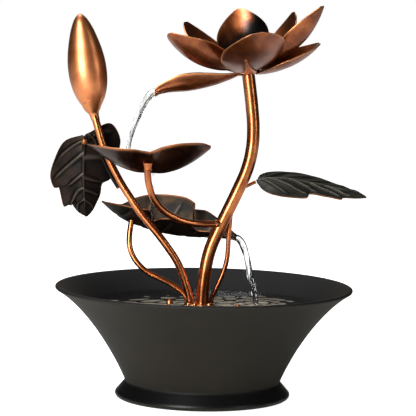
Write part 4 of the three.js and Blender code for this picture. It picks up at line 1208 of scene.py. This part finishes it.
class FOUNTAIN_OT_brazing(bpy.types.Operator):
    """Flows the brazed joints"""

    bl_idname = "fountain.brazing"
    bl_label = "Brazed joints"

    def execute(self, context):
        kinds = {"petal_strap": "petal copper", "left_leaf_braze": "leaf copper"}
        voxels = {"petal_strap": 0.16}
        for node in ("root_braze", "branch_braze", "brace_braze", "wire_braze", "left_leaf_braze",
                     "flower_washer", "petal_strap"):
            piece = brazed_copy(node, voxels.get(node, 0.25))
            kind = kinds.get(node, "braze")
            finish_piece(piece, f"{node}_flowed", kind, [node], smooth=80)
        # A ring of braze closes the gaps between the petals' roots.
        deselect()
        centre = Vector(FLOWER_CENTRE - np.array([0, 0, 1.6])) * MM
        bpy.ops.mesh.primitive_torus_add(
            major_radius=6.4 * MM, minor_radius=2 * MM, major_segments=48, minor_segments=16,
            location=centre, rotation=(0, -FLOWER_TILT, 0))
        finish_piece(bpy.context.active_object, "flower_root_braze", "braze", [])
        ferrule = turned([
            (0.3, 158.4), (2.4, 158.4), (2.7, 158.8), (2.75, 159.6), (2.85, 160.8), (3.1, 162),
            (3.5, 163), (3.55, 163.5), (3.2, 163.9), (0.3, 164)], 40, (-39.2, -24.3))
        finish_piece(ferrule, "dish_flare", "stem copper", ["dish_ferrule"])
        return {"FINISHED"}


class FOUNTAIN_OT_pump(bpy.types.Operator):
    """Finishes the submersible pump under the cover"""

    bl_idname = "fountain.pump"
    bl_label = "Pump"

    def execute(self, context):
        rubber = ("suction_cup_1", "suction_cup_2", "suction_cup_3", "suction_cup_4",
                  "cord_gland", "front_bushing", "rear_bushing")
        plastic = {
            "pump_housing": "bowl", "outlet_nozzle": "bowl", "impeller_cover": "bowl",
            "strainer_cover": "strainer", "flow_dial": "flow_dial", "impeller": "rotor"}
        parts = [(node, body, 0.3, "moulding", "pump plastic", "pump_plastic")
                 for node, body in plastic.items()]
        parts += [("riser_hose", "sculpture", 0.3, "moulding", "silicone", "silicone")]
        parts += [(node, "bowl", 0.2, "moulding", "rubber", "rubber") for node in rubber]
        parts += [("rotor_magnet", "rotor", 0.3, "ground", "ferrite", "magnet"),
                  ("pump_shaft", "bowl", 0.1, "ground", "steel", "steel")]
        for node, body, bevel, ending, kind, slot in parts:
            piece = moulded_copy(node, bevel)
            finish_piece(piece, f"{node}_{ending}", kind, [node], body)
        return {"FINISHED"}


class FOUNTAIN_OT_water(bpy.types.Operator):
    """Fills the pool and pours the three falls"""

    bl_idname = "fountain.water"
    bl_label = "Water"

    def execute(self, context):
        self.add_pool()
        self.add_fall("flower_fall", FLOWER_FALL, [1.5, 2.5, 2.5, 2.2, 1.9, 1.7, 1.5, 1.3], 5.0)
        self.add_fall("dish_fall", DISH_FALL, [1.0, 1.5, 1.6, 1.5, 1.4, 1.3, 1.2], 8.0)
        self.add_fall("leaf_fall", LEAF_FALL, [1.2, 2.4, 2.5, 2.3, 2.1, 1.9, 1.8], 11.0)
        return {"FINISHED"}

    @staticmethod
    def ripple(x, y):
        """Height of the water's surface: rings about 10 mm apart round the last fall, rings
        about 14 mm apart round the stems' root, and slow cross waves. All are under 0.5 mm."""
        away = np.hypot(x - LEAF_FALL[-1][0], y - LEAF_FALL[-1][1])
        rings = 0.5 * np.cos(away * 0.6) * np.exp(-away / 28) * np.clip(away / 4, 0, 1)
        roots = np.hypot(x + 3, y - 5)
        around = 0.26 * np.cos(roots * 0.46 + 1) * np.exp(-roots / 36)
        warp = 1.6 * np.sin(y * 0.15)
        cross = 0.2 * np.sin(x * 0.24 + warp) * np.cos(y * 0.4 + 0.8 + np.sin(x * 0.09))
        return rings + around + cross

    def add_pool(self):
        """A disc of water against the bowl's wall, rippled on top and still at its edge."""
        inner, depth = 0.6, 1.5
        bed = [(inner, WATER_LEVEL - depth), (POOL_RADIUS - 1.2, WATER_LEVEL - depth)]
        top = [(float(r), WATER_LEVEL) for r in np.linspace(inner, POOL_RADIUS, 84)]
        piece = turned([*bed, *top[::-1]], 160)
        points = points_of(piece)
        x, y, z = points.T
        shore = np.clip((POOL_RADIUS - np.hypot(x, y)) / 6, 0, 1)
        points[:, 2] += np.where(z > WATER_LEVEL - 0.5, self.ripple(x, y) * shore, 0)
        set_points(piece, points)
        finish_piece(piece, "pool_water", "pool", [], body="bowl", smooth=70)

    @staticmethod
    def add_fall(name, route, widths, seed):
        """A stream along the route, `widths` wide, with its surface drawn out by falling."""
        piece = bent_tube(route, 1.0, widths, resolution=14)
        points = points_of(piece)
        drawn_out = points * (1, 1, 0.2)
        for axis, own_seed in ((0, seed), (1, seed + 3)):
            points[:, axis] += wobble(drawn_out, 3.0, 0.4, own_seed)
        set_points(piece, points)
        finish_piece(piece, name, "fall", [], smooth=80)


OPERATORS = (
    FOUNTAIN_OT_stage, FOUNTAIN_OT_bowl, FOUNTAIN_OT_cover, FOUNTAIN_OT_stems,
    FOUNTAIN_OT_petals, FOUNTAIN_OT_dish, FOUNTAIN_OT_side_leaves, FOUNTAIN_OT_bud,
    FOUNTAIN_OT_brazing, FOUNTAIN_OT_pump, FOUNTAIN_OT_water,
)


class FOUNTAIN_PT_panel(bpy.types.Panel):
    """Lists the fountain's pieces in the sidebar"""

    bl_label = "Fountain"
    bl_idname = "FOUNTAIN_PT_panel"
    bl_space_type = "VIEW_3D"
    bl_region_type = "UI"
    bl_category = "Fountain"

    def draw(self, context):
        for group in (context.scene.fountain_sizes, context.scene.fountain_finishes):
            for key in group.__annotations__:
                self.layout.prop(group, key)
        for operator in OPERATORS:
            self.layout.operator(operator.bl_idname)


CLASSES = (FountainSizes, FountainFinishes, *OPERATORS, FOUNTAIN_PT_panel)


def register():
    for cls in CLASSES:
        bpy.utils.register_class(cls)
    bpy.types.Scene.fountain_sizes = PointerProperty(type=FountainSizes)
    bpy.types.Scene.fountain_finishes = PointerProperty(type=FountainFinishes)


def unregister():
    del bpy.types.Scene.fountain_finishes
    del bpy.types.Scene.fountain_sizes
    for cls in reversed(CLASSES):
        bpy.utils.unregister_class(cls)


def main():
    register()
    for operator in OPERATORS:
        group, name = operator.bl_idname.split(".")
        getattr(getattr(bpy.ops, group), name)()


if __name__ == "__main__":
    main()
